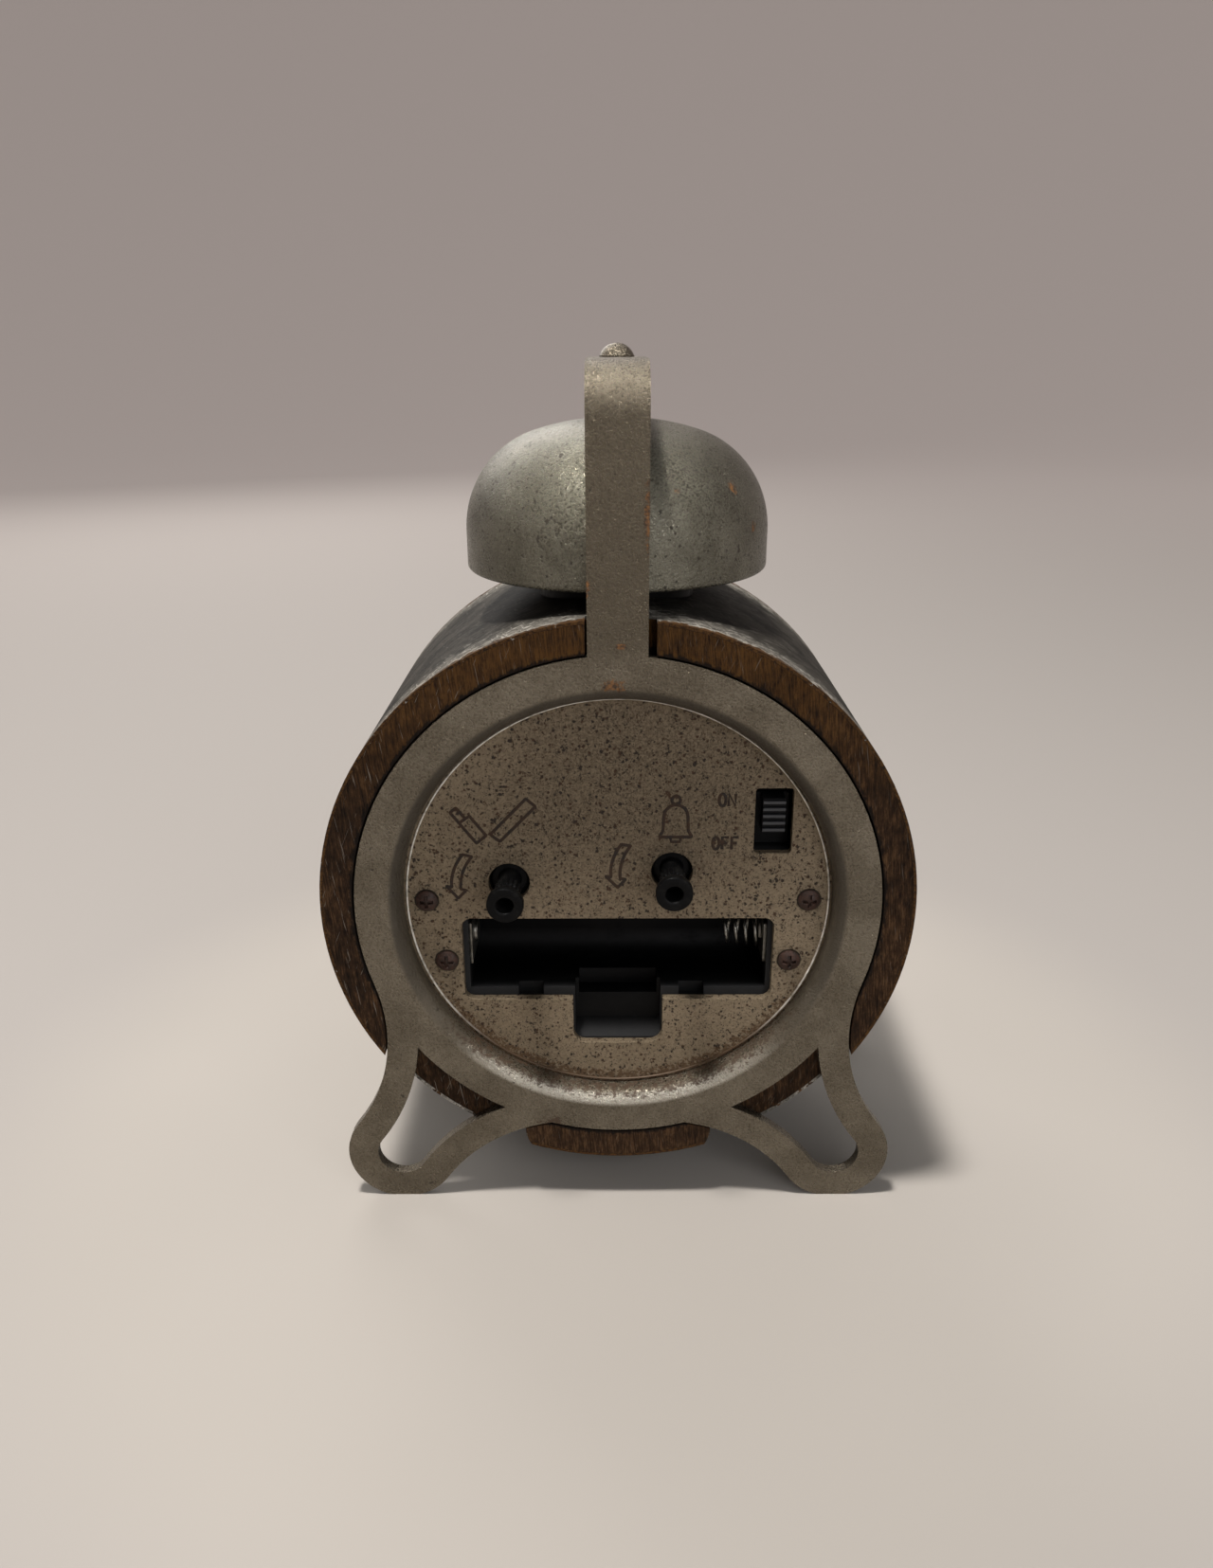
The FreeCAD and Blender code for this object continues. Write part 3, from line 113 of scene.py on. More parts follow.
def grid(name, points, wrap_u=True, wrap_v=True, angle=35):
    """A sheet of points[u, v]: cell (u, v) is the quad between rows u, u+1 and columns v, v+1; a wrapped
    direction joins its last row to its first."""
    rows, columns = points.shape[:2]
    u = np.arange(rows if wrap_u else rows - 1)[:, None]
    v = np.arange(columns if wrap_v else columns - 1)[None, :]
    after_u, after_v = (u + 1) % rows, (v + 1) % columns
    corners = [u * columns + v, after_u * columns + v, after_u * columns + after_v, u * columns + after_v]
    quads = np.stack([np.broadcast_to(corner, (u.size, v.size)) for corner in corners], axis=-1)
    return faced(name, points.reshape(-1, 3), quads.reshape(-1, 4).tolist(), angle)


# %% [markdown]
# A turned piece is a profile of (radius, height) carried round an axis: the point is
# `centre + radius * (cos a * side + sin a * other side) + height * axis`. A bar, a wire or a bead is a small
# section carried along a path: the point is `path + across * side + up * lift`, where the side is square to both
# the path and the lift.

# %% Turned surfaces, swept surfaces and prisms
UP, REARWARD, SIDEWAYS = np.array([0.0, 0, 1]), np.array([0.0, 1, 0]), np.array([1.0, 0, 0])


def turned(profile, centre, axis, steps=96):
    """Points [profile, angle]: centre + radius * (cos a * side + sin a * other) + height * axis."""
    side = SIDEWAYS if abs(axis[0]) < 0.5 else UP
    other = np.cross(axis, side)
    around = np.arange(steps) * 2 * pi / steps
    ring = np.cos(around)[:, None] * side + np.sin(around)[:, None] * other
    radius, height = profile[:, 0], profile[:, 1]
    return centre + radius[:, None, None] * ring[None] + height[:, None, None] * axis


def swept(path, section, lift, closed):
    """Points [path, section]: path + section x * (tangent x lift) + section y * lift, the tangent by differences
    of the path's own points. lift is one vector or one for each path point."""
    if closed:
        tangent = np.roll(path, -1, axis=0) - np.roll(path, 1, axis=0)
    else:
        tangent = np.gradient(path, axis=0)
    lift = np.broadcast_to(lift, path.shape)
    side = np.cross(tangent, lift)
    side /= np.linalg.norm(side, axis=1)[:, None]
    return path[:, None] + section[None, :, :1] * side[:, None] + section[None, :, 1:] * lift[:, None]


def arc_points(centre, radius, start, end, steps):
    """Points (centre + radius * (cos a, sin a)) for steps angles from start to end, in degrees."""
    angle = np.radians(np.linspace(start, end, steps))
    return np.stack([centre[0] + radius * np.cos(angle), centre[1] + radius * np.sin(angle)], axis=1)


def rounded(corners, radius, steps=5):
    """A closed outline with each corner replaced by a quarter-like bend: the quadratic curve
    (1-t)^2 before + 2t(1-t) corner + t^2 after, whose ends lie radius away from the corner."""
    corners = np.asarray(corners, dtype=float)
    back, ahead = np.roll(corners, 1, axis=0) - corners, np.roll(corners, -1, axis=0) - corners
    reach = np.minimum(radius, 0.48 * np.minimum(np.linalg.norm(back, axis=1), np.linalg.norm(ahead, axis=1)))
    before = corners + back / np.linalg.norm(back, axis=1)[:, None] * reach[:, None]
    after = corners + ahead / np.linalg.norm(ahead, axis=1)[:, None] * reach[:, None]
    t = np.linspace(0, 1, steps)[None, :, None]
    bend = (1 - t) ** 2 * before[:, None] + 2 * t * (1 - t) * corners[:, None] + t ** 2 * after[:, None]
    return bend.reshape(-1, 2)


def from_side(flat, x):
    """An outline of (y, z) points, put at x."""
    return np.column_stack([np.full(len(flat), x), flat])


def rectangle(low, high):
    """The four corners between a lowest and a highest one."""
    return [(low[0], low[1]), (high[0], low[1]), (high[0], high[1]), (low[0], high[1])]


def prism(name, outline, low, high, put):
    """A flat outline given a thickness: side quads between the two levels and one face over each end."""
    count = len(outline)
    both = np.concatenate([put(outline, low), put(outline, high)])
    here = np.arange(count)
    after = (here + 1) % count
    sides = np.stack([here, after, after + count, here + count], axis=1).tolist()
    ends = [here[::-1].tolist(), (here + count).tolist()]
    return faced(name, both, sides + ends)


def joined(name, pieces):
    """One mesh from several objects, which are then removed."""
    shape = bmesh.new()
    for piece in pieces:
        shape.from_mesh(piece.data)
    mesh = bpy.data.meshes.new(name)
    shape.to_mesh(mesh)
    shape.free()
    for piece in pieces:
        bpy.data.objects.remove(piece)
    shade(mesh)
    return object_from(name, mesh)


# %% [markdown]
# Some pieces are already right as solids: a drilled plate or a moulded block gains nothing from being drawn
# again. A solid arrives as loose flat triangles, so they are merged into whole faces in a copy, and a narrow bevel
# catches the light along its edges, as a pressed or moulded edge does.

# %% Welded copies with softened edges
def soften(piece, width):
    """A narrow rounded bevel on every edge sharper than 40 degrees."""
    bevel = piece.modifiers.new("soft_edges", "BEVEL")
    bevel.width = width
    bevel.segments = 2
    bevel.limit_method = "ANGLE"
    bevel.angle_limit = radians(40)
    bevel.use_clamp_overlap = True
    bevel.harden_normals = True
    bevel.miter_outer = "MITER_ARC"


def welded(node, width):
    """A copy of a solid with its triangles merged, its flat faces whole and its edges softened by a width."""
    mesh = bpy.data.objects[node].data.copy()
    mesh.name = f"{node}_surface"
    mesh.materials.clear()
    shape = bmesh.new()
    shape.from_mesh(mesh)
    bmesh.ops.remove_doubles(shape, verts=shape.verts, dist=1e-6)
    bmesh.ops.dissolve_limit(shape, angle_limit=radians(0.6), verts=shape.verts, edges=shape.edges)
    shape.to_mesh(mesh)
    shape.free()
    shade(mesh)
    piece = object_from(f"{node}_surface", mesh)
    soften(piece, width)
    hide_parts(node)
    return piece


def place(piece, body, material):
    """Makes a piece ride on its body and gives it its finish."""
    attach(piece, body)
    piece.data.materials.clear()
    piece.data.materials.append(material)
    print(f"{piece.name}: {len(piece.data.vertices)} points on {body}")
    return piece


def dress(*rows):
    """Welded copies on the clock's body, each by its node, softened width in millimetres, slot (not used) and
    finish.
    """
    for node, width, slot_name, material in rows:
        place(welded(node, width * MM), "clock", material)


# %% [markdown]
# ## Writing a finish as sums
# A finish is made by shader nodes. Long chains of Math nodes are hard to read, so one small class stands for the
# output of a node, and ordinary arithmetic on it adds the Math nodes. Anything else, such as a noise or a colour
# ramp, comes from its one `node` method.

# %% A class for shader arithmetic
class Wire:
    """The output of a shader node. Arithmetic between wires and numbers adds Math nodes."""

    def __init__(self, socket):
        self.socket = socket
        self.tree = socket.id_data

    def node(self, kind, settings=None, sockets=None, output=0):
        """Any node: its type, the settings that are made first, and the values or wires of its sockets."""
        made = self.tree.nodes.new(kind)
        for name, setting in (settings or {}).items():
            if name == "stops":
                ramp = made.color_ramp
                while len(ramp.elements) < len(setting):
                    ramp.elements.new(1.0)
                for stop, (position, colour) in zip(ramp.elements, setting):
                    stop.position = position
                    stop.color = (*colour, 1.0)
            else:
                setattr(made, name, setting)
        for name, given in (sockets or {}).items():
            if isinstance(given, Wire):
                self.tree.links.new(given.socket, made.inputs[name])
            else:
                made.inputs[name].default_value = given
        return Wire(made.outputs[output])

    def math(self, operation, *others):
        """A Math node on this wire and up to two more values."""
        sockets = dict(enumerate((self, *others)))
        return self.node("ShaderNodeMath", {"operation": operation}, sockets)

    def __add__(self, other):
        return self.math("ADD", other)

    __radd__ = __add__

    def __sub__(self, other):
        return self.math("SUBTRACT", other)

    def __rsub__(self, other):
        return (self * -1.0) + other

    def __mul__(self, other):
        return self.math("MULTIPLY", other)

    __rmul__ = __mul__

    def __truediv__(self, other):
        return self.math("DIVIDE", other)

    def step(self, low, high):
        """0 below low, 1 above high, and a smooth S between them; low above high turns it round."""
        return self.node("ShaderNodeMapRange", {"interpolation_type": "SMOOTHSTEP"},
                         {"Value": self, "From Min": low, "From Max": high})

    def most(self, other):
        return self.math("MAXIMUM", other)

    def length_with(self, other):
        """The length of the pair: sqrt(a * a + b * b)."""
        return (self * self + other * other).math("SQRT")


# %% Starting a finish
def colour_mix(amount, first, second):
    """first where amount is 0, second where it is 1. Either is a colour or a wire."""
    ends = [part if isinstance(part, Wire) else (*part, 1.0) for part in (first, second)]
    return amount.node("ShaderNodeMix", {"data_type": "RGBA"}, {0: amount, 6: ends[0], 7: ends[1]}, output=2)


class Finish:
    """A new material: the wires of its place on the object, and its one Principled shader."""

    def __init__(self, name, metallic=0.0, roughness=0.5, specular=0.5):
        self.material = bpy.data.materials.new(name)
        self.material.use_nodes = True
        self.tree = self.material.node_tree
        self.shader = self.tree.nodes["Principled BSDF"]
        self.done(Metallic=metallic, Roughness=roughness, Specular_IOR_Level=specular)
        self.at = Wire(self.tree.nodes.new("ShaderNodeTexCoord").outputs["Object"])
        split = self.at.node("ShaderNodeSeparateXYZ", sockets={0: self.at}).socket.node
        self.x, self.y, self.z = (Wire(out) for out in split.outputs)

    def noise(self, per_mm, detail=3.0, stretch=(1, 1, 1), turn=(0, 0, 0), rough=0.55):
        """Cloudy values about 0.5, with per_mm features to the millimetre, drawn out along the axes."""
        scale = tuple(per_mm * 1000 / side for side in stretch)
        spot = self.at.node("ShaderNodeMapping", {"vector_type": "TEXTURE"},
                            {"Vector": self.at, "Rotation": turn, "Scale": tuple(1 / side for side in scale)})
        return spot.node("ShaderNodeTexNoise", sockets={"Vector": spot, "Scale": 1.0, "Detail": detail,
                                                        "Roughness": rough})

    def specks(self, per_mm, size, share):
        """Specks in a share of the cells of a Voronoi pattern: near a cell's point, the sooner the larger its own
        random size. The cell's random colour says whether it has a speck at all, and a fine noise added to the
        place makes it ragged."""
        cell = MM / per_mm
        drift = self.at.node("ShaderNodeTexNoise", sockets={"Vector": self.at, "Scale": 1.7 / cell}, output=1)
        shifted = drift.node("ShaderNodeVectorMath", {"operation": "MULTIPLY_ADD"},
                             {0: drift, 1: (cell, cell, cell), 2: self.at})
        sockets = {"Vector": shifted, "Scale": 1.0 / cell}
        near = self.at.node("ShaderNodeTexVoronoi", sockets=sockets)
        colour = Wire(near.socket.node.outputs["Color"])
        split = colour.node("ShaderNodeSeparateColor", sockets={0: colour}).socket.node
        present, own_size = Wire(split.outputs[0]), Wire(split.outputs[1])
        reach = own_size * size + size * 0.35
        return (reach - near).step(0.0, size * 0.35) * present.step(1 - share, 1 - share + 0.02)

    def near_place(self, centre, radius, stretch=(1, 1, 1)):
        """1 at a place and 0 beyond a radius from it, measured along stretched axes."""
        offset = [(wire - middle) / side for wire, middle, side in zip((self.x, self.y, self.z), centre, stretch)]
        distance = offset[0].length_with(offset[1]).length_with(offset[2])
        return distance.step(radius, radius * 0.2)

    def near_ring(self, radius, width, fade_from, fade_to):
        """1 on a circle about the drum's axis and 0 a width off it, growing from one height above the axis to
        another."""
        height = self.z - AXIS_Z
        off = (self.x.length_with(height) - radius).math("ABSOLUTE")
        return off.step(width, width * 0.35) * height.step(fade_from, fade_to)

    def bump(self, height, depth, before=None):
        """A normal that leans as a height of so many metres would make it."""
        sockets = {"Height": height, "Distance": depth, "Strength": 1.0}
        if before:
            sockets["Normal"] = before
        return height.node("ShaderNodeBump", sockets=sockets)

    def done(self, **sockets):
        """Feeds the shader's sockets, named with _ for spaces, and gives back the material."""
        for name, given in sockets.items():
            socket = self.shader.inputs[name.replace("_", " ")]
            if isinstance(given, Wire):
                self.tree.links.new(given.socket, socket)
            else:
                socket.default_value = given
        return self.material


print("shader helpers ready")

# %% [markdown]
# ## Satin pewter paint
# Frames, strap and bell are sheet steel under a thin metallic paint. It is grey with a little brown in it, broad
# highlights run over it, and age has left dark specks, pinholes and small rust stains. Colour comes from three
# sizes of noise, specks from Voronoi cells, and stains from soft spots where water stood.

# %% Pewter paint, for the frames and the bell
def pewter(name, light, dark, specks_share, rough, strap_shade, origin, stains):
    """Metallic paint between two tones, with specks in a share of its cells and rust at the named spots. A stain is
    an offset from the origin and a radius, in millimetres, with a stretch. The dish's slope is painted darker, with
    dirt and painted shade, except low down, where a lighter band is a painted highlight above a rusty foot. The
    upright part of the strap may be painted darker by a share, as painted shade."""
    finish = Finish(name, metallic=0.9, specular=0.35)
    broad = finish.noise(0.1, 4, rough=0.65).step(0.36, 0.64)
    fine = finish.noise(2.6, 3, rough=0.7).step(0.34, 0.66)
    tone = colour_mix(broad * 0.5 + fine * 0.5, dark, light)
    above = finish.z - AXIS_Z
    # The upright part of the strap is painted darker here, by the share given for it, as painted shade.
    upright = above.step(40 * MM, 48 * MM) * above.step(86 * MM, 80 * MM)
    tone = colour_mix(upright * strap_shade, tone, dark)
    # A lighter band low on the dish's slope is a painted highlight.
    lightened = finish.near_ring(38.4 * MM, 1.3 * MM, -24 * MM, -36 * MM)
    tone = colour_mix(lightened * 0.8, tone, (0.52, 0.49, 0.42))
    pits = finish.noise(2.4, 3, rough=0.65).step(0.645, 0.675)
    specks = finish.specks(1.3, 0.32, specks_share).most(finish.specks(0.5, 0.2, specks_share * 0.7))
    specks = specks.most(pits * 0.5)
    tone = colour_mix(specks * 0.85, tone, (0.026, 0.017, 0.009))
    ragged = finish.noise(1.1, 5, rough=0.75)
    rust = finish.near_ring(37.2 * MM, 1.7 * MM, -10 * MM, -29 * MM) * 0.68
    for offset, radius, stretch in stains:
        centre = [start + part * MM for start, part in zip(origin, offset)]
        rust = rust.most(finish.near_place(centre, radius * MM, stretch))
    rust = (rust + (ragged - 0.5) * 3.4).step(0.62, 0.82) * rust.step(0.05, 0.35)
    rust_tone = colour_mix(finish.noise(1.6, 3).step(0.38, 0.62), (0.016, 0.007, 0.003), (0.23, 0.09, 0.016))
    rust_tone = colour_mix(above.step(0.0, -20 * MM), rust_tone, (0.052, 0.024, 0.009))
    tone = colour_mix(rust * 0.85, tone, rust_tone)
    # The dish's slope, apart from its lowest part, is painted darker: dirt together with painted shade.
    dirt_and_shade = finish.near_ring(38 * MM, 1.3 * MM, -34 * MM, -8 * MM)
    tone = colour_mix(dirt_and_shade * 0.75, tone, (0.026, 0.018, 0.01))
    marks = rust.most(specks).most(dirt_and_shade * 0.8)
    roughness = marks * 0.25 + (fine - 0.5) * 0.14 + rough
    grain = finish.bump(fine, 0.07 * MM)
    normal = finish.bump(1.0 - specks, 0.07 * MM, grain)
    return finish.done(Base_Color=tone, Roughness=roughness, Metallic=0.9 - marks * 0.9, Normal=normal)


frame_paint = pewter(
    "frame_pewter", (0.2, 0.172, 0.13), (0.105, 0.087, 0.062), 0.06, rough=0.3, strap_shade=0.9,
    origin=(0.0, REAR_FACE, AXIS_Z), stains=[
        ((0.5, 0, 39.8), 2.4, (1.6, 1, 0.8)), ((-0.5, 0, 46), 1.4, (1, 1, 0.7)), ((4.8, 0, 55), 1.4, (0.6, 1, 2)),
        ((-4.6, 0, 66), 2.2, (0.5, 1, 4)), ((12, 0, -43), 2.6, (1.6, 1, 0.8))])
bell_paint = pewter(
    "bell_pewter", (0.225, 0.213, 0.168), (0.11, 0.102, 0.076), 0.36, rough=0.29, strap_shade=0.0,
    origin=(0.0, MIDDLE, BELL_RIM), stains=[
        ((-9.5, 22.5, 15.5), 1.7, (1, 1, 1.1)), ((-21.5, 13, 8), 2.0, (1, 1, 1.4)),
        ((-18.5, 15, 15), 1.9, (1, 1, 1)), ((14, -19, 5), 2.2, (1, 1, 1.3))])
print("pewter paint for the frames and the bell")

# %% [markdown]
# ## Back cover, drum and band
# The cover has the same paint in champagne, but it is peppered all over with fine dark specks and hazed with rust
# near its rim. The drum's wooden ring is stained brown, with fibres and scratches across it. The thin steel band
# round it was painted dark grey; it has worn pale behind its edges, which have gone as brown as the wood.

# %% Speckled champagne paint
COVER_HOLES = ((33.1, 0.1, 1.9), (-33.1, 0.1, 1.9), (30.2, -11.7, 1.9), (-30.2, -11.7, 1.9), (18.7, 3.5, 3.4),
               (-9.3, 5.5, 3.4))


def champagne():
    """Metallic champagne, painted darker over a wide patch above the middle as painted shade, under dark specks of
    three sizes, with rust along the lower half of its edge. Round each hole it is darker in a patchy halo, and a
    thin ring at the hole's edge is a painted shadow; the holes are given by place across, height above the axis and
    radius, in millimetres."""
    finish = Finish("cover_champagne", metallic=0.3, specular=0.3)
    fine = finish.noise(2.6, 3, rough=0.7).step(0.32, 0.68)
    broad = finish.noise(0.07, 3).step(0.35, 0.65)
    tone = colour_mix(fine * 0.6 + broad * 0.4, (0.17, 0.128, 0.08), (0.29, 0.226, 0.15))
    # A wide patch above the middle of the cover is painted darker, as painted shade.
    painted_centre_shade = finish.near_place((-4 * MM, COVER_FACE, AXIS_Z + 22 * MM), 44 * MM)
    tone = colour_mix(painted_centre_shade * 0.9, tone, colour_mix(fine, (0.092, 0.067, 0.041), (0.178, 0.135, 0.086)))
    ragged = finish.noise(1.2, 5, rough=0.75)
    cloud = ragged.step(0.4, 0.62)
    haze = finish.near_ring(36.8 * MM, 3.6 * MM, 2 * MM, -28 * MM) * 0.9
    haze = haze.most(finish.near_place((9 * MM, COVER_FACE, AXIS_Z + 1 * MM), 7 * MM) * 0.5)
    rust = (haze + (ragged - 0.5) * 3.4).step(0.66, 0.84) * haze.step(0.05, 0.4)
    tone = colour_mix(rust * 0.8, tone, (0.08, 0.038, 0.014))
    pepper = finish.noise(2.9, 2, rough=0.7).step(0.6, 0.63)
    ragged_dots = finish.noise(1.35, 4, stretch=(1, 1, 1.5), rough=0.75).step(0.61, 0.628)
    dots = finish.specks(1.8, 0.46, 0.4).most(finish.specks(0.9, 0.27, 0.2))
    specks = (pepper * 0.8).most(ragged_dots).most(dots)
    speck_tone = colour_mix(finish.noise(0.9, 2).step(0.45, 0.6), (0.012, 0.007, 0.004), (0.045, 0.019, 0.007))
    tone = colour_mix(specks * 0.93, tone, speck_tone)
    marks = specks.most(rust)
    for x, height, radius in COVER_HOLES:
        place_there = (x * MM, COVER_FACE, AXIS_Z + height * MM)
        # Each hole gets a patchy darker halo round it.
        dark_halo = finish.near_place(place_there, radius * 2.4 * MM) * cloud
        tone = colour_mix(dark_halo * 0.7, tone, (0.028, 0.018, 0.01))
        # A thin dark ring at each hole's edge is a painted shadow in the gap round the screw or knob.
        edge = finish.near_place(place_there, (radius + 0.4) * MM).step(0.0, 0.04)
        tone = colour_mix(edge * 0.9, tone, (0.008, 0.005, 0.003))
    normal = finish.bump(1.0 - specks, 0.06 * MM, finish.bump(fine, 0.06 * MM))
    return finish.done(Base_Color=tone, Roughness=marks * 0.2 + fine * 0.12 + 0.38,
                       Metallic=0.3 - marks * 0.3, Normal=normal)


def stained_wood():
    """Brown stain over fibres drawn out up and down, with darker pores and thin pale scratches across them."""
    finish = Finish("drum_stain", roughness=0.6, specular=0.1)
    fibres = finish.noise(4.2, 4, stretch=(1, 1, 14), turn=(0, 0.08, 0), rough=0.7).step(0.34, 0.66)
    mottle = finish.noise(0.9, 5, stretch=(1, 1, 2.2), rough=0.75).step(0.36, 0.66)
    broad = finish.noise(0.06, 2).step(0.35, 0.65)
    tone = finish.at.node("ShaderNodeValToRGB", {"stops": (
        (0.0, (0.005, 0.003, 0.002)), (0.5, (0.033, 0.016, 0.007)), (1.0, (0.112, 0.059, 0.027)))},
        {0: fibres * 0.42 + mottle * 0.38 + broad * 0.2})
    upper = (finish.z - AXIS_Z).step(14 * MM, 44 * MM) * (fibres * 0.6 + mottle * 0.4)
    tone = colour_mix(upper * 0.9, tone, (0.084, 0.036, 0.006))
    scratches = finish.noise(4.6, 2, stretch=(1, 1, 26), turn=(0, 0.16, 0)).step(0.665, 0.7)
    scratches = scratches.most(finish.noise(4.2, 2, stretch=(1, 1, 20), turn=(0, -0.42, 0)).step(0.69, 0.72))
    worn_side = finish.noise(0.12, 3).step(0.4, 0.6)
    left = finish.x.step(10 * MM, 42 * MM)
    tone = colour_mix(scratches * (worn_side * 0.3 + left * 0.5 + 0.08), tone, (0.22, 0.185, 0.15))
    # Inside the frame's seat the wood is painted near black: painted shade in the gap and recess under the frame.
    across = finish.x.length_with(finish.z - AXIS_Z)
    inside = (across + (mottle - 0.5) * (0.6 * MM)).step(45.7 * MM, 45.2 * MM)
    tone = colour_mix(inside * 0.92, tone, (0.005, 0.003, 0.002))
    return finish.done(Base_Color=tone, Roughness=0.76 - fibres * 0.14,
                       Normal=finish.bump(fibres + mottle * 0.3, 0.08 * MM))


def worn_band():
    """Dark grey paint, scratched pale behind both edges, with the edges themselves brown."""
    finish = Finish("band_grey", roughness=0.7, specular=0.12)
    broad = finish.noise(0.16, 5, rough=0.7).step(0.34, 0.66)
    tone = colour_mix(broad, (0.01, 0.009, 0.007), (0.04, 0.035, 0.029))
    depth = (finish.y - MIDDLE).math("ABSOLUTE")
    ragged = finish.noise(0.45, 5, rough=0.75)
    mottle = finish.noise(0.8, 5, rough=0.8).step(0.42, 0.6)
    strokes = finish.noise(1.3, 3, stretch=(7, 1, 7), turn=(0, 0, 0.6), rough=0.7).step(0.58, 0.63)
    strokes = strokes.most(finish.noise(1.6, 3, stretch=(1, 8, 1), turn=(0, 0, 0.3), rough=0.7).step(0.6, 0.65))
    edge = (depth + (ragged - 0.5) * (16 * MM)).step(19 * MM, 25.6 * MM)
    tone = colour_mix(edge * (mottle * 0.7 + 0.25), tone, (0.185, 0.17, 0.146))
    marks = strokes * (edge * 0.85 + 0.1)
    tone = colour_mix(marks, tone, (0.36, 0.335, 0.295))
    uneven = depth + (ragged - 0.5) * (9 * MM)
    bare = uneven.step(27.7 * MM, 28 * MM)
    stain = finish.noise(1.6, 4, rough=0.7).step(0.35, 0.65)
    tone = colour_mix(bare, tone, colour_mix(stain, (0.02, 0.01, 0.005), (0.095, 0.045, 0.014)))
    pale = (uneven.step(26.4 * MM, 27.7 * MM) - bare) * finish.noise(0.25, 4, rough=0.8).step(0.46, 0.56)
    tone = colour_mix(pale * 0.8, tone, (0.42, 0.39, 0.34))
    specks = finish.specks(0.9, 0.36, 0.18)
    tone = colour_mix(specks * 0.8, tone, (0.018, 0.012, 0.008))
    return finish.done(Base_Color=tone, Roughness=0.72 - marks * 0.2,
                       Normal=finish.bump(marks * -1.0 - specks, 0.06 * MM))


cover_paint, drum_stain, band_paint = champagne(), stained_wood(), worn_band()
print("cover, drum and band finishes")

# %% [markdown]
# ## Plastics, bare metal and the dial side
# The movement and its knobs are black polyacetal: a soft sheen, a faint moulded grain and a little dust in the
# hollows. Screws are rusted, springs and contacts are nickel. The dial is cream lacquer under a clear
# lens.

# %% Plastics
def plastic(name, tone, rough, dust, lightened=None):
    """Moulded plastic with a fine grain, a slight change of sheen, and pale dust where noise lets it settle. Deep
    inside the housing it is painted near black, as painted shade, and its outermost faces, from the first of two
    depths to the second, are painted lighter by the share given with them: a painted highlight on the housing's
    latch lip, and lighter rib tops on the switch."""
    finish = Finish(name, roughness=rough, specular=0.1)
    cloudy = finish.noise(0.35, 5, rough=0.7).step(0.45, 0.75)
    scuffs = finish.noise(1.6, 3, stretch=(5, 1, 1)).step(0.62, 0.7)
    # Deep inside the housing the plastic is painted near black, as painted shade in the bay and recesses.
    near = finish.y.step(COVER_FACE - 8 * MM, COVER_FACE - 2 * MM)
    colour = colour_mix(near, (0.0008, 0.0008, 0.0009), tone)
    colour = colour_mix((cloudy * dust + scuffs * dust * 0.6) * near, colour, (0.1, 0.092, 0.078))
    # Faces between the two depths are painted lighter; on the housing this is a painted highlight on the latch lip.
    if lightened:
        first, last, share = lightened
        colour = colour_mix(finish.y.step(first, last) * share, colour, (0.105, 0.105, 0.109))
    return finish.done(Base_Color=colour, Roughness=cloudy * 0.18 + scuffs * 0.1 + rough,
                       Normal=finish.bump(finish.noise(5.0, 2), 0.02 * MM))


def plain_metal(name, tone, second, rough, metallic=1.0, pitted=0.0):
    """Bare or plated metal between two tones, in soft clouds, with optional pits."""
    finish = Finish(name, metallic=metallic, roughness=rough)
    cloudy = finish.noise(0.9, 4, rough=0.65).step(0.34, 0.66)
    pits = finish.noise(2.6, 4, rough=0.7).step(0.55, 0.68)
    colour = colour_mix(cloudy, tone, second)
    colour = colour_mix(pits * pitted, colour, (0.018, 0.01, 0.006))
    return finish.done(Base_Color=colour, Roughness=cloudy * 0.12 + pits * pitted * 0.3 + rough,
                       Metallic=metallic - pits * pitted * 0.5, Normal=finish.bump(1.0 - pits * pitted, 0.07 * MM))


def cover_edge_finish():
    """The cover's edge: near white above its lowest part, as a painted highlight, and rust-brown where it lies low.
    """
    finish = Finish("edge_highlight", metallic=0.3, roughness=0.45)
    patchy = finish.noise(0.5, 4, rough=0.7).step(0.3, 0.6)
    # Above its lowest part the edge is painted near white: a painted highlight.
    high = (finish.z - AXIS_Z).step(-30 * MM, -12 * MM)
    tone = colour_mix(patchy, (0.3, 0.26, 0.2), (0.9, 0.86, 0.78))
    return finish.done(Base_Color=colour_mix(high, (0.075, 0.044, 0.022), tone), Roughness=patchy * 0.1 + 0.4)


def lacquer(name, tone, second, rough=0.45):
    """Even lacquer with the faintest mottle."""
    finish = Finish(name, roughness=rough)
    cloudy = finish.noise(0.25, 4).step(0.3, 0.7)
    fine = finish.noise(3.0, 2)
    return finish.done(Base_Color=colour_mix(cloudy, tone, second), Roughness=fine * 0.08 + rough,
                       Normal=finish.bump(fine, 0.015 * MM))


def clear_lens():
    """Clear acrylic: by Fresnel's law it mirrors a small share of the light, more at a slant, and lets the rest
    through. So it is a mirror whose alpha is that share, with the faintest smears."""
    finish = Finish("lens_acrylic", metallic=1.0, roughness=0.03)
    share = finish.at.node("ShaderNodeFresnel", sockets={"IOR": 1.49})
    smear = finish.noise(0.2, 3).step(0.4, 0.8)
    return finish.done(Base_Color=(1.0, 1.0, 1.0, 1.0), Roughness=smear * 0.04 + 0.02, Alpha=share + smear * 0.006)


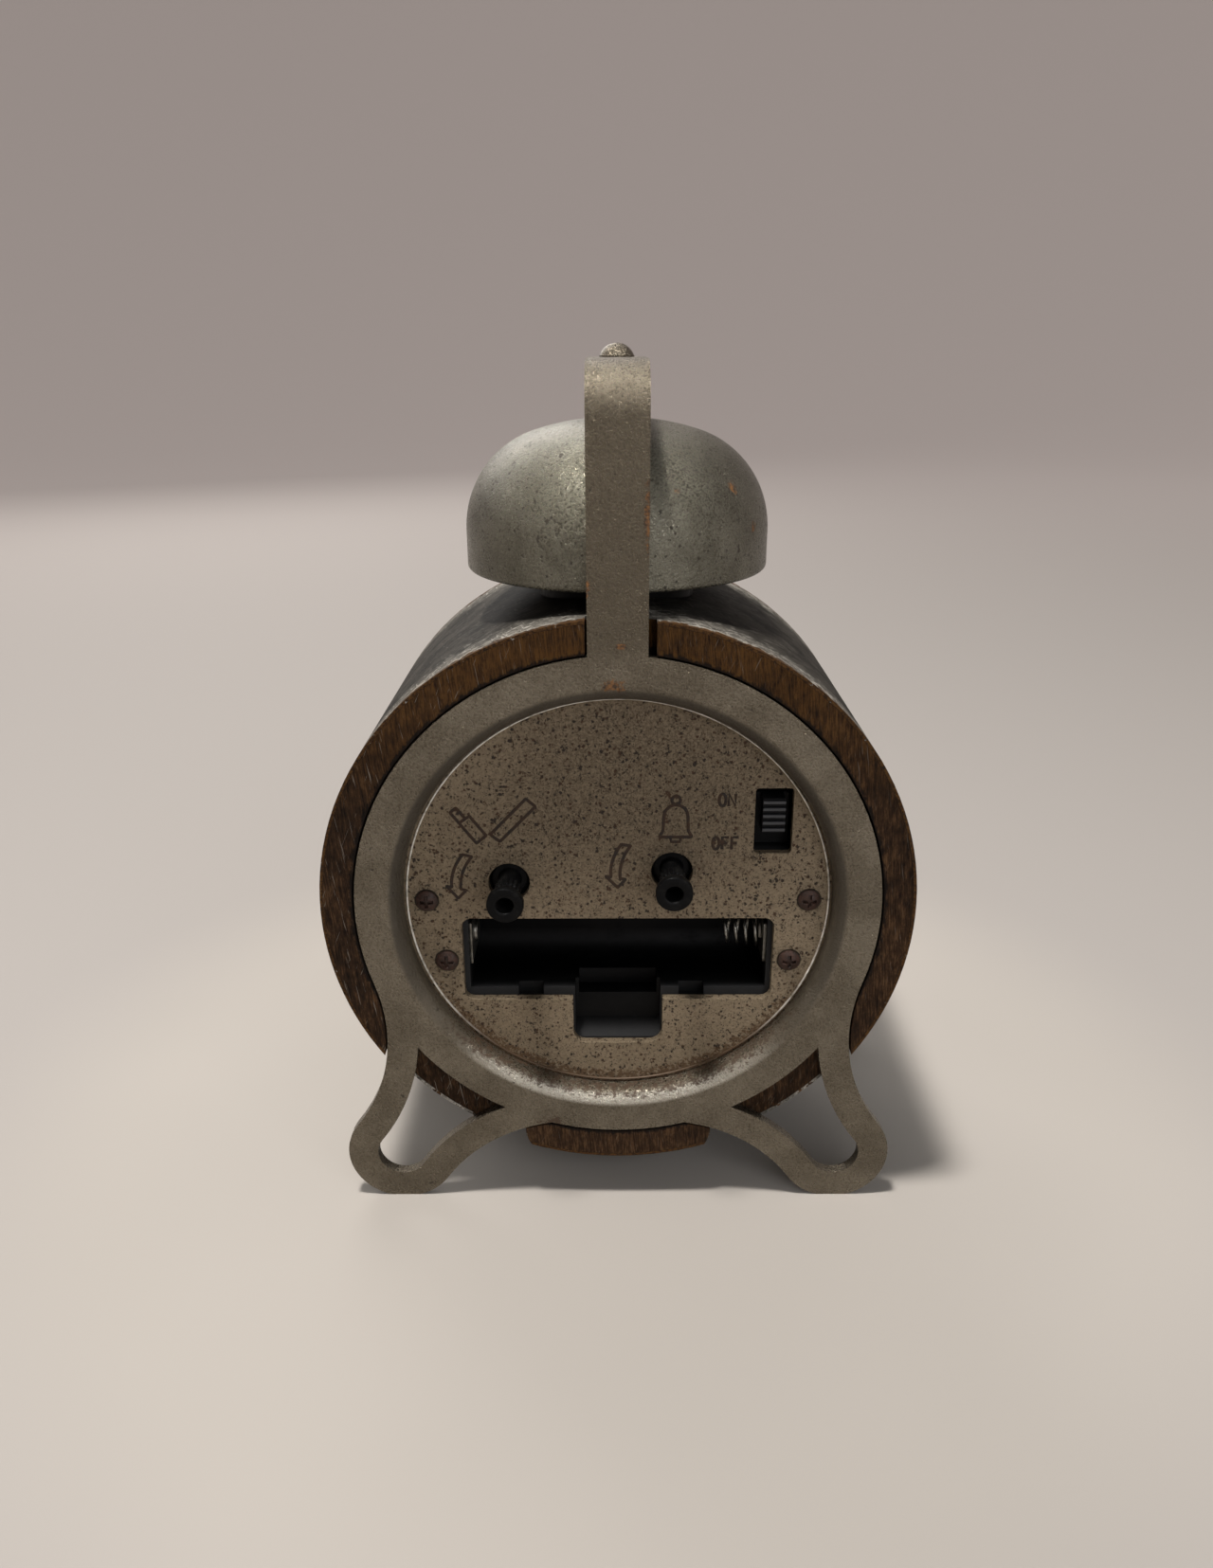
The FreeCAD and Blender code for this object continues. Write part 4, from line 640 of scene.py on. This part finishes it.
black_plastic = plastic("housing_plastic", (0.0055, 0.0055, 0.0055), 0.44, 0.05,
                        lightened=(COVER_FACE - 4.2 * MM, COVER_FACE - 1.6 * MM, 0.14))
knob_plastic = plastic("knob_plastic", (0.0022, 0.0022, 0.0024), 0.46, 0.08)
switch_plastic = plastic("switch_plastic", (0.006, 0.006, 0.0066), 0.36, 0.05,
                         lightened=(COVER_FACE - 0.05 * MM, COVER_FACE + 0.35 * MM, 0.9))
screw_rust = plain_metal("screw_rust", (0.018, 0.007, 0.003), (0.046, 0.017, 0.009), 0.54, 0.12, pitted=0.8)
nickel = plain_metal("contact_nickel", (0.3, 0.29, 0.26), (0.17, 0.16, 0.135), 0.3, 1.0, pitted=0.25)
steel = plain_metal("bare_steel", (0.3, 0.28, 0.25), (0.2, 0.18, 0.155), 0.38, 1.0, pitted=0.4)
edge_highlight = cover_edge_finish()
outline_rust = plain_metal("outline_rust", (0.01, 0.005, 0.002), (0.04, 0.019, 0.008), 0.75, 0.0, pitted=0.5)
dial_cream = lacquer("dial_cream", (0.8, 0.77, 0.68), (0.74, 0.7, 0.6))
dial_black = lacquer("dial_black", (0.018, 0.018, 0.019), (0.026, 0.025, 0.024), 0.5)
hand_black = lacquer("hand_black", (0.012, 0.012, 0.013), (0.02, 0.02, 0.02), 0.32)
hand_red = lacquer("alarm_hand_red", (0.36, 0.045, 0.025), (0.3, 0.035, 0.02), 0.35)
lens_clear = clear_lens()
print("plastics, metals and dial finishes")

# %% [markdown]
# ## The drum
# A wooden ring carries everything, with a rolled steel band round it. Both are drilled, slotted and sunk to take
# the frames, so they are welded copies of their solids. The cut edge of the sheet gets a hair-thin bevel, and the
# wood's a tenth of a millimetre, enough to show a light line at the frame's seat.

# %% Drum and band
dress(("case_core", 0.12, "drum_wood", drum_stain), ("case_band", 0.08, "band_paint", band_paint))

# %% [markdown]
# ## The two stamped frames
# Each frame is one sheet: a flat ring whose inner edge rolls down into the dish, two looped legs, and the strap
# that bends over the bell. It could be swept bar by bar, but the bars would cross where they meet the ring, and a
# stamped sheet has no seam there. So the welded solid is kept whole, and a wider bevel gives it the soft edge
# that a stamping die leaves.

# %% Frames
dress(("rear_frame", 0.38, "frame_paint", frame_paint), ("front_frame", 0.38, "frame_paint", frame_paint))

# %% [markdown]
# ## The bell
# A cup bell is turned from one profile: an upright skirt, a shoulder and a flatter crown, with an even wall and a
# rounded rim. The shoulder and the crown are arcs that share a tangent, so light runs over them unbroken.

# %% Bell
def bell_surface(radius, height, skirt, drop, wall, hole, rim):
    """Profile (radius, height above the rim), closed: crown arc, shoulder arc, skirt, half-round rim, and back up
    inside at an even wall. Crown radius = (offset^2 + rise^2 - shoulder^2) / (2 * drop)."""
    rise = height - skirt
    shoulder = rise - drop
    offset = radius - shoulder
    crown = (offset ** 2 + rise ** 2 - shoulder ** 2) / (2 * drop)
    crown_at = height - crown
    meet = degrees(atan2(skirt - crown_at, offset))
    top, under = (degrees(atan2(sqrt(size ** 2 - hole ** 2), hole)) for size in (crown, crown - wall))
    outside = np.concatenate([
        arc_points((0, crown_at), crown, top, meet, 26),
        arc_points((offset, skirt), shoulder, meet, 0, 40)[1:],
        arc_points((radius - rim, rim), rim, 0, -90, 7),
    ])
    inside = np.concatenate([
        arc_points((radius - wall + rim, rim), rim, -90, -180, 7),
        arc_points((offset, skirt), shoulder - wall, 0, meet, 40),
        arc_points((0, crown_at), crown - wall, meet, under, 26)[1:],
    ])
    return np.concatenate([outside, inside])


bell_profile = bell_surface(26.1 * MM, 24.9 * MM, 6.5 * MM, 1.4 * MM, 1.8 * MM, 2.05 * MM, 0.85 * MM)
bell_points = turned(bell_profile, np.array([0, MIDDLE, BELL_RIM]), UP, 160)
bell = grid("bell_cup", bell_points, angle=50)
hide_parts("bell")
place(bell, "clock", bell_paint)

# %% [markdown]
# ## Post, sleeves, pad and the domed screw
# The bell hangs between two sleeves on a post that runs from the drum to the straps. Only the black pad under the
# bell, a little of the upper sleeve and the domed screw on top show. The dome is turned; its edge is rolled under
# slightly, as on a pressed head.

# %% What carries the bell
dress(*((node, 0.15, "steel", steel) for node in ("bell_sleeve", "strap_sleeve", "bell_post", "post_nut")),
      ("bell_base", 0.3, "black_plastic", black_plastic))

dome = np.concatenate([
    [[0.0, 2.2]],
    arc_points((0, -0.8776), 3.0776, 88, 24, 16),
    [[2.93, 0.22], [2.94, 0.10], [2.88, 0.0], [1.3, 0.0], [1.3, -6.3], [1.1, -6.5], [0.0, -6.5]],
]) * MM
top_screw = grid("top_screw_dome", turned(dome, np.array([0, MIDDLE, STRAP_TOP]), UP, 72), wrap_u=False, angle=50)
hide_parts("top_screw")
place(top_screw, "clock", frame_paint)

# %% [markdown]
# ## Cover and movement
# The cover is a drilled plate and the movement a moulded block. Both are right as solids, so they are welded and
# bevelled: the plate sharply, as sheet, and the block softly, as plastic.

# %% Cover, housing and contacts
dress(("back_cover", 0.14, "cover_paint", cover_paint),
      ("movement_housing", 0.18, "black_plastic", black_plastic),
      ("movement_lid", 0.3, "black_plastic", black_plastic),
      ("battery_contact", 0.08, "contact_metal", nickel))

# %% [markdown]
# The screws are pan heads with a cross pressed into them. The head is a sheet over (radius, angle) whose height is
# a dome minus the cross: `height = dome(r) - depth * arm`, where arm is 1 within half an arm's width of either
# line of the cross, fading at the edge and towards the arm's end.

# %% Cover screws
def screw_surface(centre, turn, radius=1.9 * MM, height=1.1 * MM, rim=0.3 * MM, arm=1.25 * MM, width=0.26 * MM):
    """Head and shank of a cross-head screw, as points [radius, angle] about an axis that points rearward."""
    crown_at = (height ** 2 - rim ** 2 - radius ** 2) / (2 * (height - rim))
    across = np.concatenate([np.linspace(0.0, 1.0, 34) ** 0.85 * radius * 0.985, [radius]])
    around = np.arange(112) * 2 * pi / 112
    r, a = np.meshgrid(across, around + turn, indexing="ij")
    lift = crown_at + np.sqrt((height - crown_at) ** 2 - np.minimum(r, radius) ** 2)
    first, second = np.abs(r * np.cos(a)), np.abs(r * np.sin(a))
    side = np.minimum(first, second)
    along = np.maximum(first, second)
    edge = np.clip((width + 0.07 * MM - side) / (0.10 * MM), 0, 1) * np.clip((arm - along) / (0.30 * MM), 0, 1)
    lift -= 0.62 * MM * edge * edge * (3 - 2 * edge)
    spokes = np.stack([np.cos(a), np.zeros_like(a), np.sin(a)], axis=-1)
    head = centre + r[..., None] * spokes + lift[..., None] * REARWARD
    shank = np.array([[radius, 0.0], [1.2 * MM, 0.0], [1.2 * MM, -4.8 * MM], [0.0, -6.0 * MM]])
    ring = spokes[:1]
    below = centre + shank[:, 0][:, None, None] * ring + shank[:, 1][:, None, None] * REARWARD
    return np.concatenate([head, below])


for corner, turn in (("upper_left", 0.5), ("upper_right", 0.95), ("lower_left", 0.15), ("lower_right", 0.75)):
    node = f"cover_screw_{corner}"
    centre = corners_of(node).mean(axis=0)
    centre[1] = COVER_FACE
    screw = grid(f"{node}_head", screw_surface(centre, turn), wrap_u=False, angle=40)
    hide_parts(node)
    place(screw, "clock", screw_rust)

# %% [markdown]
# The battery spring is round wire on a tapering helix: its middle line is `(x, r cos a, r sin a)`, with the radius
# falling and x growing with the angle, and the wire is a circle carried along that line.

# %% Battery spring
def spring_surface(end_x, length, wide, narrow, turns, wire):
    """Wire points [along, around]: the first 0.6 of a turn lies flat on the plate, and the rest climbs from it."""
    along = np.linspace(0, 1, int(turns * 30))
    angle = along * turns * 2 * pi
    radius = wide + (narrow - wide) * along
    rise = np.where(angle < 2 * pi * 0.6, 0.0, along - 0.6 / turns) / (1 - 0.6 / turns)
    line = np.stack([end_x + wire + rise * (length - 2 * wire), radius * np.cos(angle), radius * np.sin(angle)], 1)
    outward = np.stack([np.zeros_like(angle), np.cos(angle), np.sin(angle)], axis=1)
    circle = arc_points((0, 0), wire, 0, 324, 10)
    return swept(line, circle, outward, closed=False)


spring_low, spring_high = corners_of("battery_spring")
spring_middle = (spring_low + spring_high) / 2
wire = spring_surface(spring_low[0] + 0.4 * MM, 7.1 * MM, 3.0 * MM, 2.1 * MM, 4.3, 0.3 * MM)
wire = wire + np.array([0, spring_middle[1], spring_middle[2]])
coil = grid("spring_wire", wire, wrap_u=False)
plate_outline = rounded(rectangle(spring_low[1:], spring_high[1:]), 0.8 * MM)
plate = prism("spring_plate", plate_outline, spring_low[0], spring_low[0] + 0.4 * MM, from_side)
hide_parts("battery_spring")
place(plate, "clock", nickel)
place(coil, "clock", nickel)

# %% [markdown]
# ## Knobs and switch
# A knob is one turned surface whose radius also depends on the angle: `radius = profile(s) + ridge(s) * wave(a)`,
# with a wave of sixteen rounded teeth in two bands on the neck. The hollow in its end lets a finger nail or a
# tool turn it.

# %% Setting knobs
def knob_surface(centre, teeth=16, steps=192):
    """Points [s, angle] of a knob, outer end at s = 0 and running inwards (towards -Y)."""
    rows = np.array([
        # radius, s, how strongly the teeth stand out
        (0.00, 5.00, 0), (1.35, 5.00, 0), (1.45, 4.80, 0), (1.45, 0.22, 0), (1.58, 0.06, 0), (1.85, 0.00, 0),
        (2.80, 0.00, 0), (3.00, 0.06, 0), (3.10, 0.24, 0), (3.10, 1.36, 0), (3.00, 1.54, 0), (2.60, 1.60, 0),
        (2.08, 1.66, 0.6), (2.08, 1.90, 1.0), (2.08, 3.60, 1.0), (1.86, 3.80, 0), (1.86, 4.20, 0),
        (2.08, 4.40, 1.0), (2.08, 6.60, 1.0), (1.90, 6.80, 0), (1.90, 10.30, 0), (2.08, 10.56, 0),
        (2.60, 10.60, 0), (3.00, 10.66, 0), (3.10, 10.80, 0), (3.10, 11.85, 0), (3.00, 12.0, 0), (1.50, 12.0, 0),
        (1.50, 17.0, 0), (0.00, 17.0, 0),
    ])
    around = np.arange(steps) * 2 * pi / steps
    wave = np.abs(np.cos(around * teeth / 2)) ** 1.6 * 0.40 - 0.22
    radius = (rows[:, :1] + rows[:, 2:] * wave[None, :]) * MM
    spokes = np.stack([np.cos(around), np.zeros(steps), np.sin(around)], axis=1)
    return centre + radius[..., None] * spokes[None] - (rows[:, 1] * MM)[:, None, None] * REARWARD


for kind in ("time", "alarm"):
    node = f"{kind}_set_knob"
    low, high = corners_of(node)
    centre = np.array([(low[0] + high[0]) / 2, high[1], (low[2] + high[2]) / 2])
    knob = grid(f"{node}_turned", knob_surface(centre), wrap_u=False, angle=42)
    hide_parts(node)
    place(knob, f"{kind}_knob", knob_plastic)

# %% [markdown]
# The switch is a finger piece with five ribs on a thin base that slides behind the cover. Its side view is one
# outline, `out = floor + rib * wave(t)`, where the wave is `1.8 |sin(5 pi t)| - 0.6` held between 0 and 1, so that
# every rib has a flat top. It is as wide as the finger piece.

# %% Alarm switch
def slider(name, node):
    """The finger piece from its ribbed side view, and its base, as one piece."""
    low, high = corners_of(node)
    middle_x = (low[0] + high[0]) / 2
    t = np.linspace(0, 1, 121)
    wave = np.clip(1.8 * np.abs(np.sin(5 * pi * t)) - 0.6, 0, 1)
    ribs = np.column_stack([high[1] - 0.45 * MM + 0.45 * MM * wave,
                            high[2] - t * (high[2] - low[2])])
    outline = np.concatenate([[(low[1] + 0.6 * MM, high[2])], ribs, [(low[1] + 0.6 * MM, low[2])]])
    finger = prism("finger", outline, middle_x - 1.9 * MM, middle_x + 1.9 * MM, from_side)
    base = rounded(rectangle(low[::2], high[::2]), 0.5 * MM)
    plate = prism("base", base, low[1], low[1] + 1.2 * MM,
                  lambda flat, y: np.column_stack([flat[:, 0], np.full(len(flat), y), flat[:, 1]]))
    return joined(name, [finger, plate])


switch = slider("switch_slider", "alarm_switch")
soften(switch, 0.10 * MM)
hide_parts("alarm_switch")
place(switch, "switch", switch_plastic)

# %% [markdown]
# ## Marks on the cover
# Beside each knob the cover carries an outlined figure: two clock hands, a small bell and curved arrows, and ON and
# OFF beside the switch. They are raised a tenth of a millimetre and have rusted brown. Each is a closed or open
# line of points on the cover, and a half-round bead is carried along it. A last bead runs round the cover where the
# dish begins, painted near white above its lowest part as a highlight.

# %% Beads on the cover
BEAD = arc_points((0, 0), 1.0, -20, 200, 8) * np.array([0.28, 0.10]) * MM


def bead(name, points, closed=True, smooth=0.25):
    """A half-round bead along a line of (across, height) points in millimetres, its corners eased."""
    flat = np.asarray(points, dtype=float)
    if closed:
        flat = rounded(flat, smooth)
    path = np.column_stack([-flat[:, 0], np.zeros(len(flat)), flat[:, 1]]) * MM
    path[:, 1] = COVER_FACE - 0.01 * MM
    return grid(name, swept(path, BEAD, REARWARD, closed), wrap_u=closed, wrap_v=True, angle=60)


def arrow(top, tip, bend, width):
    """A curved arrow's outline: its shaft's two sides follow p(t) = top + t (tip - top) + bend * 4t(1-t) * side,
    and its head widens before the tip."""
    top, tip = np.array(top), np.array(tip)
    run = tip - top
    side = np.array([run[1], -run[0]]) / np.hypot(*run)
    t = np.linspace(0, 0.78, 8)[:, None]
    middle = top + t * run + bend * 4 * t * (1 - t) * side
    left, right = middle + side * width / 2, middle - side * width / 2
    neck = middle[-1]
    head = [neck + side * width * 1.08, tip, neck - side * width * 1.08]
    return np.concatenate([left, head, right[::-1]])


def bell_figure(x, z, width, height):
    """A bell's outline: a dome over flared sides, widest at its foot."""
    dome = arc_points((x, z + height * 0.62), width * 0.36, 180, 0, 9)
    return np.concatenate([[(x - width / 2, z), (x - width * 0.38, z + height * 0.18)], dome,
                           [(x + width * 0.38, z + height * 0.18), (x + width / 2, z)]])


# The strokes of each letter, in a unit box.
LETTERS = {
    "O": [[(0.5 + 0.5 * cos(a), 0.5 + 0.5 * sin(a)) for a in np.linspace(0, 2 * pi, 17)]],
    "N": [[(0, 0), (0, 1), (1, 0), (1, 1)]],
    "F": [[(0, 0), (0, 1), (1, 1)], [(0, 0.5), (0.8, 0.5)]],
}
beads = [
    bead("short_hand", [(-28.2, 75.8), (-24.0, 70.2), (-22.3, 71.6), (-25.0, 75.2), (-25.7, 74.7),
                        (-27.2, 76.7)], smooth=0.15),
    bead("short_hand_foot", [(-25.7, 74.7), (-26.8, 73.95)], closed=False),
    bead("long_hand", [(-21.6, 71.8), (-20.0, 70.5), (-13.8, 76.9), (-15.4, 78.3)]),
    bead("time_arrow", arrow((-25.7, 67.9), (-27.6, 59.8), 1.0, 1.6), smooth=0.1),
    bead("alarm_arrow", arrow((1.4, 69.8), (0.0, 61.8), 1.0, 1.6), smooth=0.1),
    bead("bell_figure", bell_figure(9.8, 71.3, 5.6, 6.2), smooth=0.3),
    bead("bell_loop", arc_points((9.8, 78.0), 0.75, 0, 324, 10), smooth=0.1),
    bead("bell_clapper", [(8.9, 71.3), (9.1, 70.4), (10.5, 70.4), (10.7, 71.3)], closed=False),
]
for word, left, foot in (("ON", 17.0, 76.9), ("OFF", 16.1, 69.0)):
    for index, sign in enumerate(word):
        for stroke in LETTERS[sign]:
            placed = np.array(stroke) * (1.12, 2.2) + (left + index * 1.62, foot)
            beads.append(bead(f"word_{word}", placed, closed=False))
place(joined("cover_marks", beads), "clock", outline_rust)

# A bead round the cover's edge carries a painted highlight.
rim_path = arc_points((0, AXIS_Z), 36.45 * MM, 0, 358.5, 240)
rim_path = np.column_stack([rim_path[:, 0], np.full(len(rim_path), COVER_FACE), rim_path[:, 1]])
cover_edge = grid("cover_edge", swept(rim_path, BEAD * (0.6, 3.6), REARWARD, closed=True), angle=60)
place(cover_edge, "clock", edge_highlight)

# %% [markdown]
# ## The dial side
# Behind the lens lie a cream dial with printed numerals and minute marks, a black spacer ring and four hands. The
# marks are thin raised plates, as thick as a heavy print. Text becomes a mesh before it is put in place.

# %% Dial, ring, nut and lens
dress(("dial", 0.05, "dial_white", dial_cream), ("dial_ring", 0.2, "ring_black", dial_black),
      ("dial_nut", 0.15, "steel", steel), ("lens", 0.2, "lens_clear", lens_clear))


# %% Numerals and minute marks
def minute_marks(outer, long_mark, short_mark):
    """Sixty bars as one array of boxes: a unit box scaled to (width, thickness, length), moved out and turned."""
    box = np.array([(x, y, z) for x in (-0.5, 0.5) for y in (-1, 0) for z in (-1, 0)], dtype=float)
    minute = np.arange(60)
    angles = minute * 2 * pi / 60
    hour = minute % 5 == 0
    size = np.stack([np.where(hour, 0.9, 0.35), np.full(60, 0.06), np.where(hour, long_mark, short_mark)], axis=1)
    points = box[None] * size[:, None] * MM
    points[..., 2] += outer * MM
    x = points[..., 0] * np.cos(angles)[:, None] + points[..., 2] * np.sin(angles)[:, None]
    z = points[..., 2] * np.cos(angles)[:, None] - points[..., 0] * np.sin(angles)[:, None]
    placed = np.stack([x, points[..., 1] + DIAL_FACE + 0.01 * MM, z + AXIS_Z], axis=-1)
    sides = np.array([(0, 1, 3, 2), (4, 6, 7, 5), (0, 4, 5, 1), (2, 3, 7, 6), (0, 2, 6, 4), (1, 5, 7, 3)])
    faces = (sides[None] + 8 * minute[:, None, None]).reshape(-1, 4)
    return faced("minute_marks", placed.reshape(-1, 3), faces.tolist())


def numeral(number, radius, size):
    """One numeral as a mesh, upright for someone who faces the dial."""
    name = f"numeral_{number}"
    curve = bpy.data.curves.new(name, "FONT")
    curve.body = str(number)
    curve.size = size * MM
    curve.extrude = 0.04 * MM
    curve.align_x = curve.align_y = "CENTER"
    text = object_from(name, curve)
    mesh = bpy.data.meshes.new_from_object(text)
    bpy.data.objects.remove(text)
    angle = number * pi / 6
    spot = Vector((radius * sin(angle) * MM, DIAL_FACE - 0.03 * MM, AXIS_Z + radius * cos(angle) * MM))
    mesh.transform(Matrix.Translation(spot) @ Matrix.Rotation(pi / 2, 4, "X"))
    return object_from(name, mesh)


prints = [minute_marks(35.0, 3.2, 1.6)] + [numeral(number, 26.5, 8.2) for number in range(1, 13)]
place(joined("dial_print", prints), "clock", dial_black)

# %% Hands
for kind, finish in (("alarm", hand_red), ("hour", hand_black), ("minute", hand_black), ("second", hand_black)):
    place(welded(f"{kind}_hand", 0.08 * MM), f"{kind}_pointer", finish)

# %% [markdown]
# ## Floor, light and camera
# The clock stands on a plain pale floor, a little greyer away from it, that bends up into a round backdrop, the
# same on every side. The camera, and whatever metal mirrors or the lens lets through, sees that backdrop a little
# brighter than it is lit, which adds no light to the clock. A small lamp overhead draws the highlights and the
# crisp shadows, two large ones fill the two sides, and the surroundings give the rest.

# %% Floor and backdrop
def backdrop_surface(flat, bend, top):
    """A dish turned about the upright: flat floor, quarter round of the given bend, then an upright wall."""
    profile = np.concatenate([[[0.0, 0.0]], arc_points((flat, bend), bend, -90, 0, 16), [[flat + bend, top]]])
    return turned(profile, np.zeros(3), UP)


floor_finish = Finish("floor_pale", roughness=0.75, specular=0.2)
from_clock = floor_finish.x.length_with(floor_finish.y)
rays = [floor_finish.at.node("ShaderNodeLightPath", output=f"Is {kind} Ray")
        for kind in ("Camera", "Glossy", "Transmission")]
seen = rays[0].most(rays[1]).most(rays[2])
pale = colour_mix(floor_finish.noise(0.004, 3).step(0.3, 0.7), (0.43, 0.394, 0.358), (0.465, 0.427, 0.39))
greyer = colour_mix(from_clock.step(0.095, 0.15), pale, (0.4, 0.368, 0.345))
glow = colour_mix(seen * from_clock.step(0.12, 1.4), (0.0, 0.0, 0.0), (0.233, 0.197, 0.185))
floor_pale = floor_finish.done(Base_Color=greyer, Emission_Color=glow, Emission_Strength=1.0)
floor = grid("floor", backdrop_surface(1.4, 1.8, 2.6), wrap_u=False)
floor.data.materials.append(floor_pale)

# %% Lamps and surroundings
def lamp(name, spot, aim, size, watts, tone):
    """A square soft lamp at a spot, turned to face its aim."""
    light = bpy.data.lights.new(name, "AREA")
    light.size, light.energy, light.color = size, watts, tone
    made = object_from(name, light)
    made.location = spot
    made.rotation_euler = (Vector(spot) - Vector(aim)).to_track_quat("Z", "Y").to_euler()
    return made


middle = (0.0, MIDDLE, 0.075)
lamp("key", (0.14, 0.12, 0.88), middle, 0.1, 8.3, (1.0, 0.975, 0.94))
lamp("fill", (-0.45, 0.9, 0.46), middle, 0.8, 4.5, (0.94, 0.965, 1.0))
lamp("front", (0.35, -0.8, 0.62), middle, 0.7, 4.2, (1.0, 0.98, 0.95))
world = bpy.data.worlds.new("studio")
world.use_nodes = True
background = world.node_tree.nodes["Background"].inputs
background["Color"].default_value = (0.93, 0.91, 0.88, 1.0)
background["Strength"].default_value = 0.22
bpy.context.scene.world = world

# %% Camera
camera = bpy.data.cameras.new("camera")
camera.sensor_fit = "VERTICAL"
camera.sensor_height = camera.sensor_width = 36.0
camera.lens = 26.57
camera.clip_start = 0.01
eye = object_from("camera", camera)
eye.location = (0.00087, 0.20254, 0.14986)
turn = Matrix.Rotation(radians(180.315), 3, "Z") @ Matrix.Rotation(radians(90 - 20.954), 3, "X")
eye.rotation_euler = (turn @ Matrix.Rotation(-0.0043, 3, "Z")).to_euler()
bpy.context.scene.camera = eye
bpy.context.scene.view_settings.view_transform = "Standard"
print("camera", round(eye.location.length, 4), "m from the origin")
